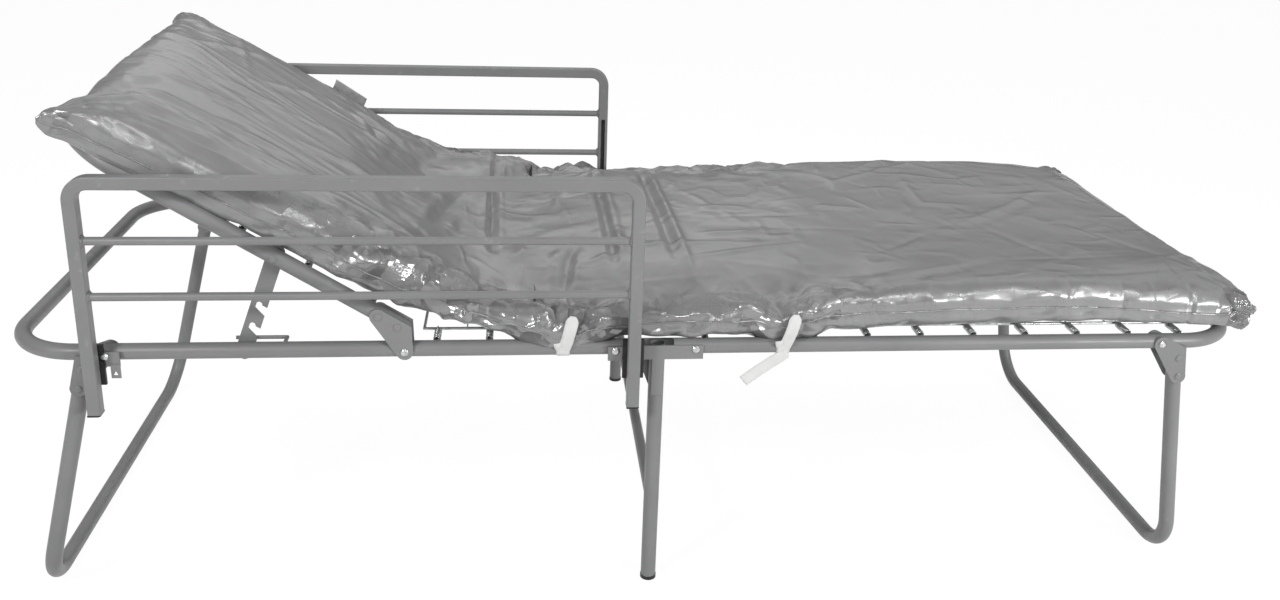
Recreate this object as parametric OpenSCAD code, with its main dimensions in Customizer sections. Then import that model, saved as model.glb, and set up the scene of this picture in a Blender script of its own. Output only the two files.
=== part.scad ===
// Emergency folding cot: two tube half frames on a centre hinge with its own legs, folding
// end legs, a ratchet backrest, drop side rails, sprung wire decks and a soft mattress.
// +X runs from the head to the foot, +Z is up, the origin is on the floor under the middle.

/* [Frame] */
// Width of the frame, from tube centre to tube centre
frame_w = 760; // [700:5:820]
// Height of the rail centre line above the floor
rail_h = 435; // [420:5:480]
// Outer diameter of the round frame tubes
tube_d = 25.4; // [24:0.2:26]
// Wall of the round frame tubes
tube_wall = 1.6; // [1.2:0.1:2.2]
// Head half, from the end bar to its hinge bolt
head_len = 938; // [930:2:980]
// Foot half, from its hinge bolt to the end bar
foot_len = 950; // [930:5:1050]
// Distance between the two hinge bolts of one side
hinge_pitch = 130; // [126:2:150]
// Radius of the corner bends in the two half frames and the backrest
corner_r = 110; // [90:5:130]
// Length of frame tube that runs past each hinge bolt
stub_len = 35; // [28:1:38]

/* [Plates and pins] */
// Thickness of the hinge and gusset plates
plate_t = 2.5; // [2:0.1:3]
// Gap between a tube and the plate beside it
plate_gap = 0.3; // [0.2:0.05:0.4]
// Radius of the pivot bolts
bolt_r = 4; // [3.5:0.1:4.5]
// Radius of the rivet shanks
rivet_r = 3; // [2.5:0.1:3.5]
// Radius of the bolt and rivet heads
head_r = 6; // [5.5:0.1:6.4]
// Radial clearance of every pin in its hole
pin_clear = 0.05; // [0.03:0.01:0.08]
// Distance from a gusset's pivot to the tube that it carries
gusset_offset = 30; // [28.5:0.5:32]
// Distance from a gusset's pivot to its first rivet, along the tube
gusset_rivet_1 = 31; // [30:0.5:34]
// Distance from a gusset's pivot to its second rivet, along the tube
gusset_rivet_2 = 65; // [58:1:72]
// Radius of a gusset's rounded ends
gusset_r = 13; // [12:0.5:14]

/* [Centre hinge and legs] */
// Height of the hinge plates
hinge_plate_h = 24; // [20:1:28]
// Length of a hinge plate past its bolts
hinge_plate_end = 12; // [10:1:16]
// Shift of the centre legs from the middle of the hinge, towards the foot
centre_leg_shift = 4; // [0:1:6]
// Length of the tongue that runs down each centre leg
tongue_len = 64; // [40:2:90]
// Width of that tongue
tongue_w = 18; // [12:1:24]
// Height of the bar between the centre legs
cross_bar_h = 150; // [90:5:250]
// Diameter of the bar between the centre legs
cross_bar_d = 19; // [16:1:22]
// Height of the plastic foot under a centre leg
foot_cap_h = 6; // [4:0.5:12]

/* [End legs] */
// Distance of the head leg's pivot from the head bar
head_pivot = 158; // [150:1:175]
// Distance of the foot leg's pivot from the foot bar
foot_pivot = 157; // [140:1:175]
// Lean of the head leg out of the vertical, in degrees
head_splay = 14; // [10:0.5:16]
// Lean of the foot leg out of the vertical, in degrees
foot_splay = 8; // [5:0.5:12]
// Radius of the bends at the floor
leg_bend_r = 75; // [60:5:100]

/* [Backrest] */
// Distance of the backrest's pivot from the head bar, which is also its length
back_len = 607; // [590:1:640]
// Angle of the raised backrest above the rails, in degrees
back_angle = 32; // [28:0.5:34]
// Distance along the backrest from its pivot to the prop's pivot
prop_at = 245; // [235:1:255]
// Distance from the prop's pivot to the notch that is in use
prop_notch = 165; // [162:1:172]
// Distance between the notches of a prop
notch_pitch = 37; // [32:1:40]
// Width of a prop
prop_w = 26; // [24:1:28]
// Thickness of a prop
prop_t = 3; // [2.5:0.1:3.2]
// Radius of the pin that a prop stands on
prop_pin_r = 4.3; // [3.8:0.1:4.6]

/* [Side rails] */
// Distance of the rail's head post from the head bar
post_head = 142; // [140:1:150]
// Distance of the rail's hinge post from the hinge bolt, towards the foot
post_foot = 28; // [25:1:34]
// Side of the square rail tube
rail_tube = 20; // [18:0.5:22]
// Wall of the square rail tube
rail_wall = 1.6; // [1.2:0.1:2]
// Outer radius of the rail's two top bends
rail_bend_r = 37; // [30:1:45]
// Height of the top of a raised rail above the frame rail's centre
rail_top = 292; // [270:2:320]
// Length of a post below the frame rail's centre, when raised
post_below = 87; // [70:1:100]
// Height of the upper bar above the frame rail's centre
bar_1 = 192; // [185:1:200]
// Height of the lower bar above the frame rail's centre
bar_2 = 104; // [98:1:120]
// Diameter of the two bars
bar_d = 12.7; // [10:0.1:14]
// Travel of a side rail from raised to lowered
drop_travel = 160; // [120:5:180]
// Thickness of the steel hangers
hanger_t = 3; // [2.5:0.1:3.5]
// Thickness of the black guide blocks
guide_t = 5.1; // [4.5:0.1:6]

/* [Decks and springs] */
// Diameter of a deck's border wire
border_d = 5; // [4:0.5:6]
// Diameter of the lengthwise deck wires
long_wire_d = 3; // [2.5:0.1:3.5]
// Diameter of the crosswise deck wires
cross_wire_d = 2.6; // [2:0.1:3]
// Largest distance between two deck wires
deck_pitch = 82; // [75:1:120]
// Distance from the rail's centre line to the deck's border wire
deck_inset = 60; // [56:1:70]
// Outer diameter of the coil springs
spring_d = 12; // [10:0.5:13]
// Wire diameter of the coil springs
spring_wire = 2; // [1.6:0.1:2.2]
// Turns in a spring that is drawn with its curls
spring_turns = 6; // [4:1:7]
// Distance between springs along the backrest
back_spring_pitch = 112; // [100:1:130]
// Distance between springs along the seat
seat_spring_pitch = 83; // [75:1:84]
// Distance between springs along the foot half
foot_spring_pitch = 91; // [80:1:91]
// Distance between springs along an end bar
end_spring_pitch = 98; // [80:1:105]

/* [Mattress] */
// Thickness of the mattress at its crown
pad_t = 64; // [55:1:66]
// Width that the mattress overhangs the rail's centre line by
pad_overhang = 18; // [10:1:20]
// Distance that the mattress runs past an end bar's centre line
pad_past_end = 12; // [0:1:12]
// Height that the crown adds over the edge of the mattress
pad_crown = 6; // [0:1:8]
// Length over which an end of the mattress rounds off
pad_round = 55; // [40:5:70]
// Depth that the sewn channels draw the top down by
channel_depth = 9; // [0:1:12]
// Width of the straps that hold the mattress to the rails
strap_w = 34; // [25:1:40]
// Thickness of those straps
strap_t = 1.6; // [1:0.1:2]

/* [Hidden] */
$fn = 48;

// Colours as the photograph shows them
grey_paint = [0.53, 0.53, 0.54];
bright_zinc = [0.78, 0.79, 0.8];
black_plastic = [0.07, 0.07, 0.07];
grey_vinyl = [0.56, 0.56, 0.57];
white_webbing = [0.92, 0.92, 0.9];

tube_r = tube_d / 2;
side_y = frame_w / 2;
frame_len = head_len + hinge_pitch + foot_len;
head_x = -frame_len / 2;
foot_x = frame_len / 2;
head_bolt_x = head_x + head_len;
foot_bolt_x = head_bolt_x + hinge_pitch;
hinge_x = (head_bolt_x + foot_bolt_x) / 2;
centre_leg_x = hinge_x + centre_leg_shift;
head_pivot_x = head_x + head_pivot;
foot_pivot_x = foot_x - foot_pivot;
back_pivot_x = head_x + back_len;
weld_gap = 0.1;
cut = 1;

// Layers of plate beside a tube, measured outwards from its centre line
plate_in = tube_r + plate_gap;
plate_out = plate_in + plate_t;
hanger_in = plate_out + plate_gap;
hanger_out = hanger_in + hanger_t;
guide_out = hanger_out + guide_t;
post_in = guide_out + weld_gap;
post_mid = post_in + rail_tube / 2;

// Start of the tube in a gusset, so that a leg's end just clears the rail above it
leg_tube_top = (tube_r + plate_gap + (gusset_offset + tube_r) * sin(head_splay)) / cos(head_splay);
foot_tube_top = (tube_r + plate_gap + (gusset_offset + tube_r) * sin(foot_splay)) / cos(foot_splay);
back_tube_start = 14;
head_leg_len = (rail_h - tube_r + gusset_offset * sin(head_splay)) / cos(head_splay);
foot_leg_len = (rail_h - tube_r + gusset_offset * sin(foot_splay)) / cos(foot_splay);

// The prop leans until its lowest notch is level with the rail's centre line
prop_x = back_pivot_x - prop_at * cos(back_angle) + gusset_offset * sin(back_angle);
prop_z = rail_h + prop_at * sin(back_angle) + gusset_offset * cos(back_angle);
prop_lean = acos((prop_z - rail_h) / prop_notch);
prop_pin_x = prop_x - prop_notch * sin(prop_lean);
prop_in = plate_out + plate_gap;
prop_end = prop_notch + prop_w / 2 + 10;
notch_r = prop_pin_r + 0.3;

post_head_x = head_x + post_head;
post_foot_x = head_bolt_x + post_foot;
rail_mid_r = rail_bend_r - rail_tube / 2;
post_bottom_z = rail_h - post_below;
rail_top_z = rail_h + rail_top - rail_tube / 2;
guide_w = 34;
guide_low = 45;
guide_high = 21;
rider_half = 20;
rider_neck_w = 8;
rider_head_w = 14;
rider_head_t = 4;
rider_slack = 0.2;

// Springs lie level just under the mattress, from the tube to the deck's border wire
spring_z = 7;
deck_z = spring_z;
coil_start = tube_r + 4;
tail_start = sqrt(tube_r * tube_r - pow(spring_z - spring_wire / 2, 2)) + 0.3;
tail_end = deck_inset - border_d / 2 - 0.3;
coil_end = tail_end - 4;
deck_half = side_y - deck_inset;
back_spring_first = 82;
back_spring_count = 4;
seat_spring_first = back_len + 48;
seat_spring_count = 4;
foot_spring_first = 19;
foot_spring_count = 10;
end_spring_count = 5;

// The mattress lies just above the springs and the rails
pad_z = max(spring_z + spring_d / 2, tube_r) + 0.3;
pad_half = side_y + pad_overhang;
pad_ring = 24;
pad_soft_gap = 0.3;
pad_edge = pad_half * sqrt(cos(180 / pad_ring));
fold_free = 58;
back_pad_start = 20;
seat_pad_x = back_pivot_x + 83;
fold_pad_head_x = head_bolt_x - fold_free;
fold_pad_foot_x = foot_bolt_x + fold_free;
seat_channel_x = seat_pad_x + 40;

strap_head_x = head_bolt_x - 80;
strap_foot_x = foot_bolt_x + 147;
strap_in = tube_r + 0.3;
strap_out = strap_in + strap_t;
strap_high = pad_z + pad_t / 2 + 2;

// Copies onto the far side what is drawn on the near side
module both_sides() {
    children();
    mirror([0, 1, 0]) children();
}

// A plate on the near side, drawn in X and Z, from one distance outside the tube's centre to another
module side_plate(from, to) {
    translate([0, -side_y - from, 0])
        rotate([90, 0, 0])
            linear_extrude(to - from)
                children();
}

// A round pin across the near rail, between two distances outside its centre
module side_pin(x, z, from, to, r) {
    translate([x, -side_y - from, z])
        rotate([90, 0, 0])
            cylinder(h = to - from, r = r);
}

// A low domed head that stands outwards from a distance outside the rail's centre
module domed_head(x, z, from, high) {
    translate([x, -side_y - from, z])
        rotate([90, 0, 0])
            rotate_extrude()
                polygon([[0, 0], [head_r, 0], [head_r, high * 0.4], [head_r * 0.7, high * 0.85], [0, high]]);
}

// The same head on the inside of the rail
module inner_head(x, z, from, high) {
    translate([x, -side_y + from, z])
        rotate([-90, 0, 0])
            rotate_extrude()
                polygon([[0, 0], [head_r, 0], [head_r, high * 0.4], [head_r * 0.7, high * 0.85], [0, high]]);
}

// A rivet through a tube with a plate on both sides
module tube_rivet(x, z) {
    side_pin(x, z, -plate_out - weld_gap, plate_out + weld_gap, rivet_r);
    domed_head(x, z, plate_out + weld_gap, 2.1);
    inner_head(x, z, plate_out + weld_gap, 2.1);
}

// A pivot bolt with a domed head outside and a nut inside
module pivot_bolt(x, z, under_head) {
    side_pin(x, z, -plate_out - weld_gap, under_head + weld_gap, bolt_r);
    domed_head(x, z, under_head + weld_gap, 3.4);
    translate([x, -side_y + plate_out + weld_gap, z])
        rotate([-90, 0, 0])
            cylinder(h = 5, r = head_r + 1, $fn = 6);
}

// A solid bar bent into a U: its ends at x = 0 run on by "past", and its cross part is at x = -reach
module u_bar(reach, width, bend, r, past = 0) {
    for (side = [-1, 1]) {
        translate([past, side * width / 2, 0])
            rotate([0, -90, 0])
                cylinder(h = reach - bend + past, r = r);
        translate([bend - reach, side * (width / 2 - bend), 0])
            rotate([0, 0, side > 0 ? 90 : 180])
                rotate_extrude(angle = 90)
                    translate([bend, 0])
                        circle(r = r);
    }
    translate([-reach, bend - width / 2, 0])
        rotate([-90, 0, 0])
            cylinder(h = width - 2 * bend, r = r);
}

module u_tube(reach, width, bend) {
    difference() {
        u_bar(reach, width, bend, tube_r);
        u_bar(reach, width, bend, tube_r - tube_wall, cut);
    }
}

// The four points where a band is tangent to two equal circles
function band(a, b, r) =
    let (d = (b - a) / norm(b - a), n = [-d[1], d[0]])
    [a + r * n, b + r * n, b - r * n, a - r * n];

// A gusset's outline: pivot at the origin, the carried tube along +Y at x = gusset_offset
module gusset_outline() {
    far_end = [gusset_offset, gusset_rivet_2];
    edge_x = gusset_offset + tube_r;
    difference() {
        union() {
            circle(r = gusset_r);
            translate(far_end) circle(r = gusset_r);
            polygon(band([0, 0], far_end, gusset_r));
            polygon([[0, 0], [gusset_r * 0.5, -gusset_r * 0.866], [edge_x, gusset_r], [edge_x, gusset_rivet_2], far_end]);
        }
        circle(r = bolt_r + pin_clear);
        translate([gusset_offset, gusset_rivet_1]) circle(r = rivet_r + pin_clear);
        translate(far_end) circle(r = rivet_r + pin_clear);
    }
}

// The pair of gussets on the near side; children place the outline in X and Z
module gusset_pair() {
    side_plate(plate_in, plate_out) children();
    side_plate(-plate_out, -plate_in) children();
}

// The two rivet holes or rivets of a gusset, at their places in the leg's own frame
module at_gusset_rivets() {
    for (along = [gusset_rivet_1, gusset_rivet_2])
        translate([-gusset_offset, 0, -along])
            children();
}

// Frames of the moving assemblies
module at_head_leg() {
    translate([head_pivot_x, 0, rail_h]) rotate([0, head_splay, 0]) children();
}

module at_foot_leg() {
    translate([foot_pivot_x, 0, rail_h]) rotate([0, -foot_splay, 0]) mirror([1, 0, 0]) children();
}

module at_backrest() {
    translate([back_pivot_x, 0, rail_h]) rotate([0, back_angle, 0]) children();
}

module bolt_holes(places) {
    for (x = places)
        both_sides() side_pin(x, rail_h, -tube_r - cut, tube_r + cut, bolt_r + pin_clear);
}

module head_frame_tube() {
    color(grey_paint)
        difference() {
            translate([head_bolt_x + stub_len, 0, rail_h])
                u_tube(head_len + stub_len, frame_w, corner_r);
            bolt_holes([head_pivot_x, back_pivot_x, head_bolt_x]);
            both_sides() side_pin(prop_pin_x, rail_h, -tube_r - cut, 0, prop_pin_r + pin_clear);
        }
}

module foot_frame_tube() {
    color(grey_paint)
        difference() {
            translate([foot_bolt_x - stub_len, 0, rail_h])
                mirror([1, 0, 0])
                    u_tube(foot_len + stub_len, frame_w, corner_r);
            bolt_holes([foot_pivot_x, foot_bolt_x]);
        }
}

// A hinge plate's outline in X and Z: a bar over both bolts with a tongue down the leg
module hinge_outline(spread) {
    top = rail_h + hinge_plate_h * 0.3;
    low = top - hinge_plate_h;
    difference() {
        union() {
            polygon([
                [head_bolt_x - hinge_plate_end, low], [foot_bolt_x + hinge_plate_end, low],
                [foot_bolt_x + hinge_plate_end, top], [head_bolt_x - hinge_plate_end, top]
            ]);
            polygon([
                [centre_leg_x - tongue_w / 2 - spread, low + cut], [centre_leg_x - tongue_w / 2, low - tongue_len],
                [centre_leg_x + tongue_w / 2, low - tongue_len], [centre_leg_x + tongue_w / 2, low + cut]
            ]);
        }
        for (x = [head_bolt_x, foot_bolt_x])
            translate([x, rail_h]) circle(r = bolt_r + pin_clear);
    }
}

module hinge_plates_outer() {
    color(grey_paint)
        both_sides() side_plate(plate_in, plate_out) hinge_outline(0);
}

module hinge_plates_inner() {
    color(grey_paint)
        both_sides() side_plate(-plate_out, -plate_in) hinge_outline(25);
}

module hinge_bolts() {
    color(bright_zinc)
        both_sides() {
            pivot_bolt(head_bolt_x, rail_h, hanger_out);
            pivot_bolt(foot_bolt_x, rail_h, plate_out);
        }
}

module centre_leg(side) {
    leg_top = rail_h + hinge_plate_h * 0.3 - cut;
    color(grey_paint)
        translate([centre_leg_x, side * side_y, foot_cap_h])
            difference() {
                cylinder(h = leg_top - foot_cap_h, r = tube_r);
                translate([0, 0, -cut]) cylinder(h = leg_top, r = tube_r - tube_wall);
            }
}

module centre_leg_near() {
    centre_leg(-1);
}

module centre_leg_far() {
    centre_leg(1);
}

module centre_leg_crossbar() {
    color(grey_paint)
        difference() {
            translate([centre_leg_x, -side_y, cross_bar_h])
                rotate([-90, 0, 0])
                    cylinder(h = frame_w, r = cross_bar_d / 2);
            for (side = [-1, 1])
                translate([centre_leg_x, side * side_y, cross_bar_h - cross_bar_d])
                    cylinder(h = 2 * cross_bar_d, r = tube_r + weld_gap / 2);
        }
}

module centre_leg_feet() {
    color(black_plastic)
        both_sides()
            translate([centre_leg_x, -side_y, 0]) {
                cylinder(h = foot_cap_h, r = tube_r + 0.8);
                cylinder(h = foot_cap_h + 14, r = tube_r - tube_wall - 0.1);
            }
}

// An end leg in its own frame: pivot at the origin, the tube hanging straight down at x = -gusset_offset
module leg_tube(length, top) {
    difference() {
        translate([-gusset_offset, 0, -top])
            rotate([0, -90, 0])
                u_tube(length - top, frame_w, leg_bend_r);
        both_sides() at_gusset_rivets() side_pin(0, 0, -tube_r - cut, tube_r + cut, rivet_r + pin_clear);
    }
}

module leg_gussets() {
    both_sides() gusset_pair() mirror([1, 0]) mirror([0, 1]) gusset_outline();
}

module leg_rivets() {
    both_sides() at_gusset_rivets() tube_rivet(0, 0);
}

module head_leg_tube() {
    color(grey_paint) at_head_leg() leg_tube(head_leg_len, leg_tube_top);
}

module head_leg_gussets() {
    color(grey_paint) at_head_leg() leg_gussets();
}

module head_leg_rivets() {
    color(grey_paint) at_head_leg() leg_rivets();
}

module head_leg_bolts() {
    color(bright_zinc) both_sides() pivot_bolt(head_pivot_x, rail_h, hanger_out);
}

module foot_leg_tube() {
    color(grey_paint) at_foot_leg() leg_tube(foot_leg_len, foot_tube_top);
}

module foot_leg_gussets() {
    color(grey_paint) at_foot_leg() leg_gussets();
}

module foot_leg_rivets() {
    color(grey_paint) at_foot_leg() leg_rivets();
}

module foot_leg_bolts() {
    color(bright_zinc) both_sides() pivot_bolt(foot_pivot_x, rail_h, plate_out);
}

// The backrest in its own frame: pivot at the origin, lying flat towards -X above the rails
module backrest_tube() {
    color(grey_paint)
        at_backrest()
            difference() {
                translate([-back_tube_start, 0, gusset_offset])
                    u_tube(back_len - back_tube_start, frame_w, corner_r);
                both_sides() {
                    for (along = [gusset_rivet_1, gusset_rivet_2])
                        side_pin(-along, gusset_offset, -tube_r - cut, tube_r + cut, rivet_r + pin_clear);
                    side_pin(-prop_at, gusset_offset, -tube_r - cut, tube_r + cut, bolt_r + pin_clear);
                }
            }
}

// The backrest's gussets turn the outline so that the tube runs along -X above the pivot
module backrest_gussets() {
    color(grey_paint)
        at_backrest()
            both_sides() gusset_pair() rotate(90) gusset_outline();
}

module backrest_rivets() {
    color(grey_paint)
        at_backrest()
            both_sides()
                for (along = [gusset_rivet_1, gusset_rivet_2])
                    tube_rivet(-along, gusset_offset);
}

module backrest_bolts() {
    color(bright_zinc) both_sides() pivot_bolt(back_pivot_x, rail_h, plate_out);
}

// A prop's outline: pivot at the origin, hanging along -Y, its hooked notches open towards +X
module prop_outline() {
    half = prop_w / 2;
    difference() {
        union() {
            circle(r = half);
            polygon([[-half, 0], [half, 0], [half, 6 - prop_end], [half - 8, -prop_end], [8 - half, -prop_end], [-half, 6 - prop_end]]);
        }
        circle(r = bolt_r + pin_clear);
        for (count = [0:2]) {
            at = prop_notch - count * notch_pitch;
            translate([0, -at]) circle(r = notch_r);
            polygon([
                [-notch_r, -at], [notch_r, -at], [half + cut, -at - 2],
                [half + cut, -at - 18], [half - 3, -at - 16], [-notch_r, -at - 7]
            ]);
        }
    }
}

module prop_struts() {
    color(grey_paint)
        both_sides()
            translate([prop_x, 0, prop_z])
                rotate([0, prop_lean, 0])
                    side_plate(-prop_in - prop_t, -prop_in) prop_outline();
}

module prop_rivets() {
    color(grey_paint)
        both_sides() {
            side_pin(prop_x, prop_z, -prop_in - prop_t - weld_gap, tube_r + weld_gap, bolt_r);
            domed_head(prop_x, prop_z, tube_r + weld_gap, 2.1);
            inner_head(prop_x, prop_z, prop_in + prop_t + weld_gap, 2.1);
        }
}

module prop_pins() {
    color(bright_zinc)
        both_sides() {
            side_pin(prop_pin_x, rail_h, -prop_in - prop_t - 3, -tube_r + tube_wall, prop_pin_r);
        }
}

// A wire finger over each prop, which keeps it beside the rail
module prop_guides() {
    wire_r = 3;
    finger_len = 78;
    finger_x = prop_pin_x + finger_len - 15;
    finger_z = rail_h + tube_r - 1.7;
    inside = prop_in + prop_t + 1.5 + wire_r;
    color(grey_paint)
        both_sides()
            difference() {
                union() {
                    translate([finger_x, -side_y, finger_z])
                        rotate([-90, 0, 0])
                            cylinder(h = inside, r = wire_r);
                    translate([finger_x, -side_y + inside, finger_z])
                        sphere(r = wire_r);
                    translate([finger_x, -side_y + inside, finger_z])
                        rotate([0, -90, 0])
                            cylinder(h = finger_len, r = wire_r);
                }
                translate([finger_x - 20, -side_y, rail_h])
                    rotate([0, 90, 0])
                        cylinder(h = 40, r = tube_r);
                translate([finger_x - 20, -side_y - 2 * tube_r, rail_h])
                    cube([40, 2 * tube_r, 2 * tube_r]);
            }
}

// A wire deck in its own frame: a border with wires both ways, between two places along X
module wire_deck(from, to) {
    long_count = ceil(2 * deck_half / deck_pitch);
    cross_count = ceil((to - from) / deck_pitch);
    for (side = [-1, 1])
        translate([from, side * deck_half, 0]) rotate([0, 90, 0]) cylinder(h = to - from, r = border_d / 2);
    for (x = [from, to]) {
        translate([x, -deck_half, 0]) rotate([-90, 0, 0]) cylinder(h = 2 * deck_half, r = border_d / 2);
        for (side = [-1, 1])
            translate([x, side * deck_half, 0]) sphere(r = border_d / 2);
    }
    for (count = [1:long_count - 1])
        translate([from, -deck_half + count * 2 * deck_half / long_count, 0])
            rotate([0, 90, 0])
                cylinder(h = to - from, r = long_wire_d / 2);
    for (count = [1:cross_count - 1])
        translate([from + count * (to - from) / cross_count, -deck_half, 0])
            rotate([-90, 0, 0])
                cylinder(h = 2 * deck_half, r = cross_wire_d / 2);
}

back_deck_near = 60;
seat_deck_from = back_pivot_x + 25;
seat_deck_to = head_bolt_x - 30;
foot_deck_from = foot_bolt_x + 5;

module backrest_deck() {
    color(bright_zinc)
        at_backrest()
            translate([0, 0, gusset_offset + deck_z])
                wire_deck(deck_inset - back_len, -back_deck_near);
}

module seat_deck() {
    color(bright_zinc)
        translate([0, 0, rail_h + deck_z])
            wire_deck(seat_deck_from, seat_deck_to);
}

module foot_deck() {
    color(bright_zinc)
        translate([0, 0, rail_h + deck_z])
            wire_deck(foot_deck_from, foot_x - deck_inset);
}

// A plain spring along +Y: a close-wound barrel with a straight tail at each end
module plain_spring() {
    translate([0, tail_start, 0])
        rotate([-90, 0, 0])
            cylinder(h = tail_end - tail_start, r = spring_wire / 2, $fn = 14);
    translate([0, coil_start, 0])
        rotate([-90, 0, 0])
            cylinder(h = coil_end - coil_start, r = spring_d / 2, $fn = 16);
}

// The centre line of a spring with its curls: straight tails, a spiral out, the turns, and a spiral in
ring_sides = 6;
rings_per_turn = 8;
coil_r = (spring_d - spring_wire) / 2;
coil_steps = spring_turns * rings_per_turn;
function coil_spread(step) = pow(sin(90 * min(1, step / 6, (coil_steps - step) / 6)), 2);
function coil_turn(step) = 360 * step / rings_per_turn;
function coil_point(step) =
    let (out = coil_r * coil_spread(step))
    [out * cos(coil_turn(step)), coil_start + (coil_end - coil_start) * step / coil_steps, out * sin(coil_turn(step))];
coil_path = concat(
    [[0, tail_start, 0], [0, coil_start - spring_wire, 0]],
    [for (step = [0:coil_steps]) coil_point(step)],
    [[0, coil_end + spring_wire, 0], [0, tail_end, 0]]
);

function unit(v) = v / norm(v);
function path_way(path, i) =
    i == 0 ? unit(path[1] - path[0]) :
    i == len(path) - 1 ? unit(path[i] - path[i - 1]) : unit(path[i + 1] - path[i - 1]);

// The direction out of the spring's axis at each ring, which keeps the wire from twisting
function path_out(i) =
    let (turn = coil_turn(max(0, min(coil_steps, i - 2))))
    [cos(turn), 0, sin(turn)];

// One unbroken tube along a spring's centre line, with six-sided rings
module swept_wire(path, r) {
    last = len(path) - 1;
    points = [
        for (i = [0:last])
            let (way = path_way(path, i), up = unit(cross(way, path_out(i))), across = cross(up, way))
            for (side = [0:ring_sides - 1])
                path[i] + r * (across * cos(side * 360 / ring_sides) + up * sin(side * 360 / ring_sides))
    ];
    sides = [
        for (i = [0:last - 1], side = [0:ring_sides - 1])
            let (a = i * ring_sides + side, b = i * ring_sides + (side + 1) % ring_sides)
            for (face = [[a, a + ring_sides, b], [b, a + ring_sides, b + ring_sides]]) face
    ];
    start = [for (side = [1:ring_sides - 2]) [0, side, side + 1]];
    end_ring = last * ring_sides;
    end = [for (side = [1:ring_sides - 2]) [end_ring, end_ring + side + 1, end_ring + side]];
    polyhedron(points, concat(sides, start, end));
}

// The least gap between neighbouring turns, measured on the centre line's points
coil_gap = min([
    for (i = [2:len(coil_path) - 9], j = [i + 5:min(i + 11, len(coil_path) - 3)])
        norm(coil_path[j] - coil_path[i]) - spring_wire
]);
echo(least_gap_between_curls = coil_gap);

// Springs along the near and far sides, at X places; those listed as shown have their curls on the near side
module side_springs(places, z, shown) {
    for (i = [0:len(places) - 1]) {
        translate([places[i], -side_y, z])
            if (len(search(i, shown)) > 0) swept_wire(coil_path, spring_wire / 2);
            else plain_spring();
        mirror([0, 1, 0]) translate([places[i], -side_y, z]) plain_spring();
    }
}

// Springs along an end bar, drawn from the bar towards +X
module end_springs(x, z) {
    for (i = [0:end_spring_count - 1])
        translate([x, (i - (end_spring_count - 1) / 2) * end_spring_pitch, z])
            rotate([0, 0, -90])
                plain_spring();
}

module backrest_springs() {
    color(bright_zinc)
        at_backrest() {
            side_springs(
                [for (i = [0:back_spring_count - 1]) -back_spring_first - i * back_spring_pitch],
                gusset_offset + spring_z, [0, 1, 2]);
            end_springs(-back_len, gusset_offset + spring_z);
        }
}

module seat_springs() {
    color(bright_zinc)
        side_springs(
            [for (i = [0:seat_spring_count - 1]) head_x + seat_spring_first + i * seat_spring_pitch],
            rail_h + spring_z, [0]);
}

module foot_springs() {
    color(bright_zinc) {
        side_springs(
            [for (i = [0:foot_spring_count - 1]) foot_bolt_x + foot_spring_first + i * foot_spring_pitch],
            rail_h + spring_z, [0, 1, 7, 8, 9]);
        mirror([1, 0, 0]) end_springs(-foot_x, rail_h + spring_z);
    }
}

// The square tube's section, with rounded corners
module rounded_square(side, r) {
    square([side, side - 2 * r], center = true);
    square([side - 2 * r, side], center = true);
    for (x = [-1, 1], y = [-1, 1])
        translate([x * (side / 2 - r), y * (side / 2 - r)])
            circle(r = r);
}

module rail_section(hollow) {
    if (hollow) rounded_square(rail_tube - 2 * rail_wall, 1);
    else rounded_square(rail_tube, 2.5);
}

// The rail's tube as a solid bar, or its bore, running on past the open ends
module rail_bar(hollow) {
    past = hollow ? cut : 0;
    post_len = rail_top_z - rail_mid_r - post_bottom_z;
    for (x = [post_head_x, post_foot_x])
        translate([x, 0, post_bottom_z - past])
            linear_extrude(post_len + past)
                rail_section(hollow);
    translate([post_head_x + rail_mid_r, 0, rail_top_z])
        rotate([0, 90, 0])
            linear_extrude(post_foot_x - post_head_x - 2 * rail_mid_r)
                rail_section(hollow);
    translate([post_head_x + rail_mid_r, 0, rail_top_z - rail_mid_r])
        rotate([90, 0, 0]) rotate([0, 0, 90])
            rotate_extrude(angle = 90)
                translate([rail_mid_r, 0]) rail_section(hollow);
    translate([post_foot_x - rail_mid_r, 0, rail_top_z - rail_mid_r])
        rotate([90, 0, 0])
            rotate_extrude(angle = 90)
                translate([rail_mid_r, 0]) rail_section(hollow);
}

// The near side rail: a bent square tube with a slot in each post's inner wall
module side_rail() {
    slot_w = rider_neck_w + 2 * rider_slack;
    slot_low = rail_h - rider_half - rider_slack;
    slot_high = rail_h + rider_half + drop_travel + rider_slack;
    color(grey_paint)
        difference() {
            translate([0, -side_y - post_mid, 0])
                difference() {
                    rail_bar(false);
                    rail_bar(true);
                }
            for (x = [post_head_x, post_foot_x])
                translate([x - slot_w / 2, -side_y - post_in - rail_wall - cut, slot_low])
                    cube([slot_w, rail_wall + 2 * cut, slot_high - slot_low]);
        }
}

module side_rail_near() {
    side_rail();
}

module side_rail_far() {
    mirror([0, 1, 0]) side_rail();
}

module rail_bars() {
    from = post_head_x + rail_tube / 2;
    color(grey_paint)
        for (high = [bar_1, bar_2])
            translate([from, -side_y - post_mid, rail_h + high])
                rotate([0, 90, 0])
                    difference() {
                        cylinder(h = post_foot_x - rail_tube / 2 - from, r = bar_d / 2);
                        translate([0, 0, -cut]) cylinder(h = post_foot_x - from, r = bar_d / 2 - 1.2);
                    }
}

module rail_bars_near() {
    rail_bars();
}

module rail_bars_far() {
    mirror([0, 1, 0]) rail_bars();
}

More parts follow.
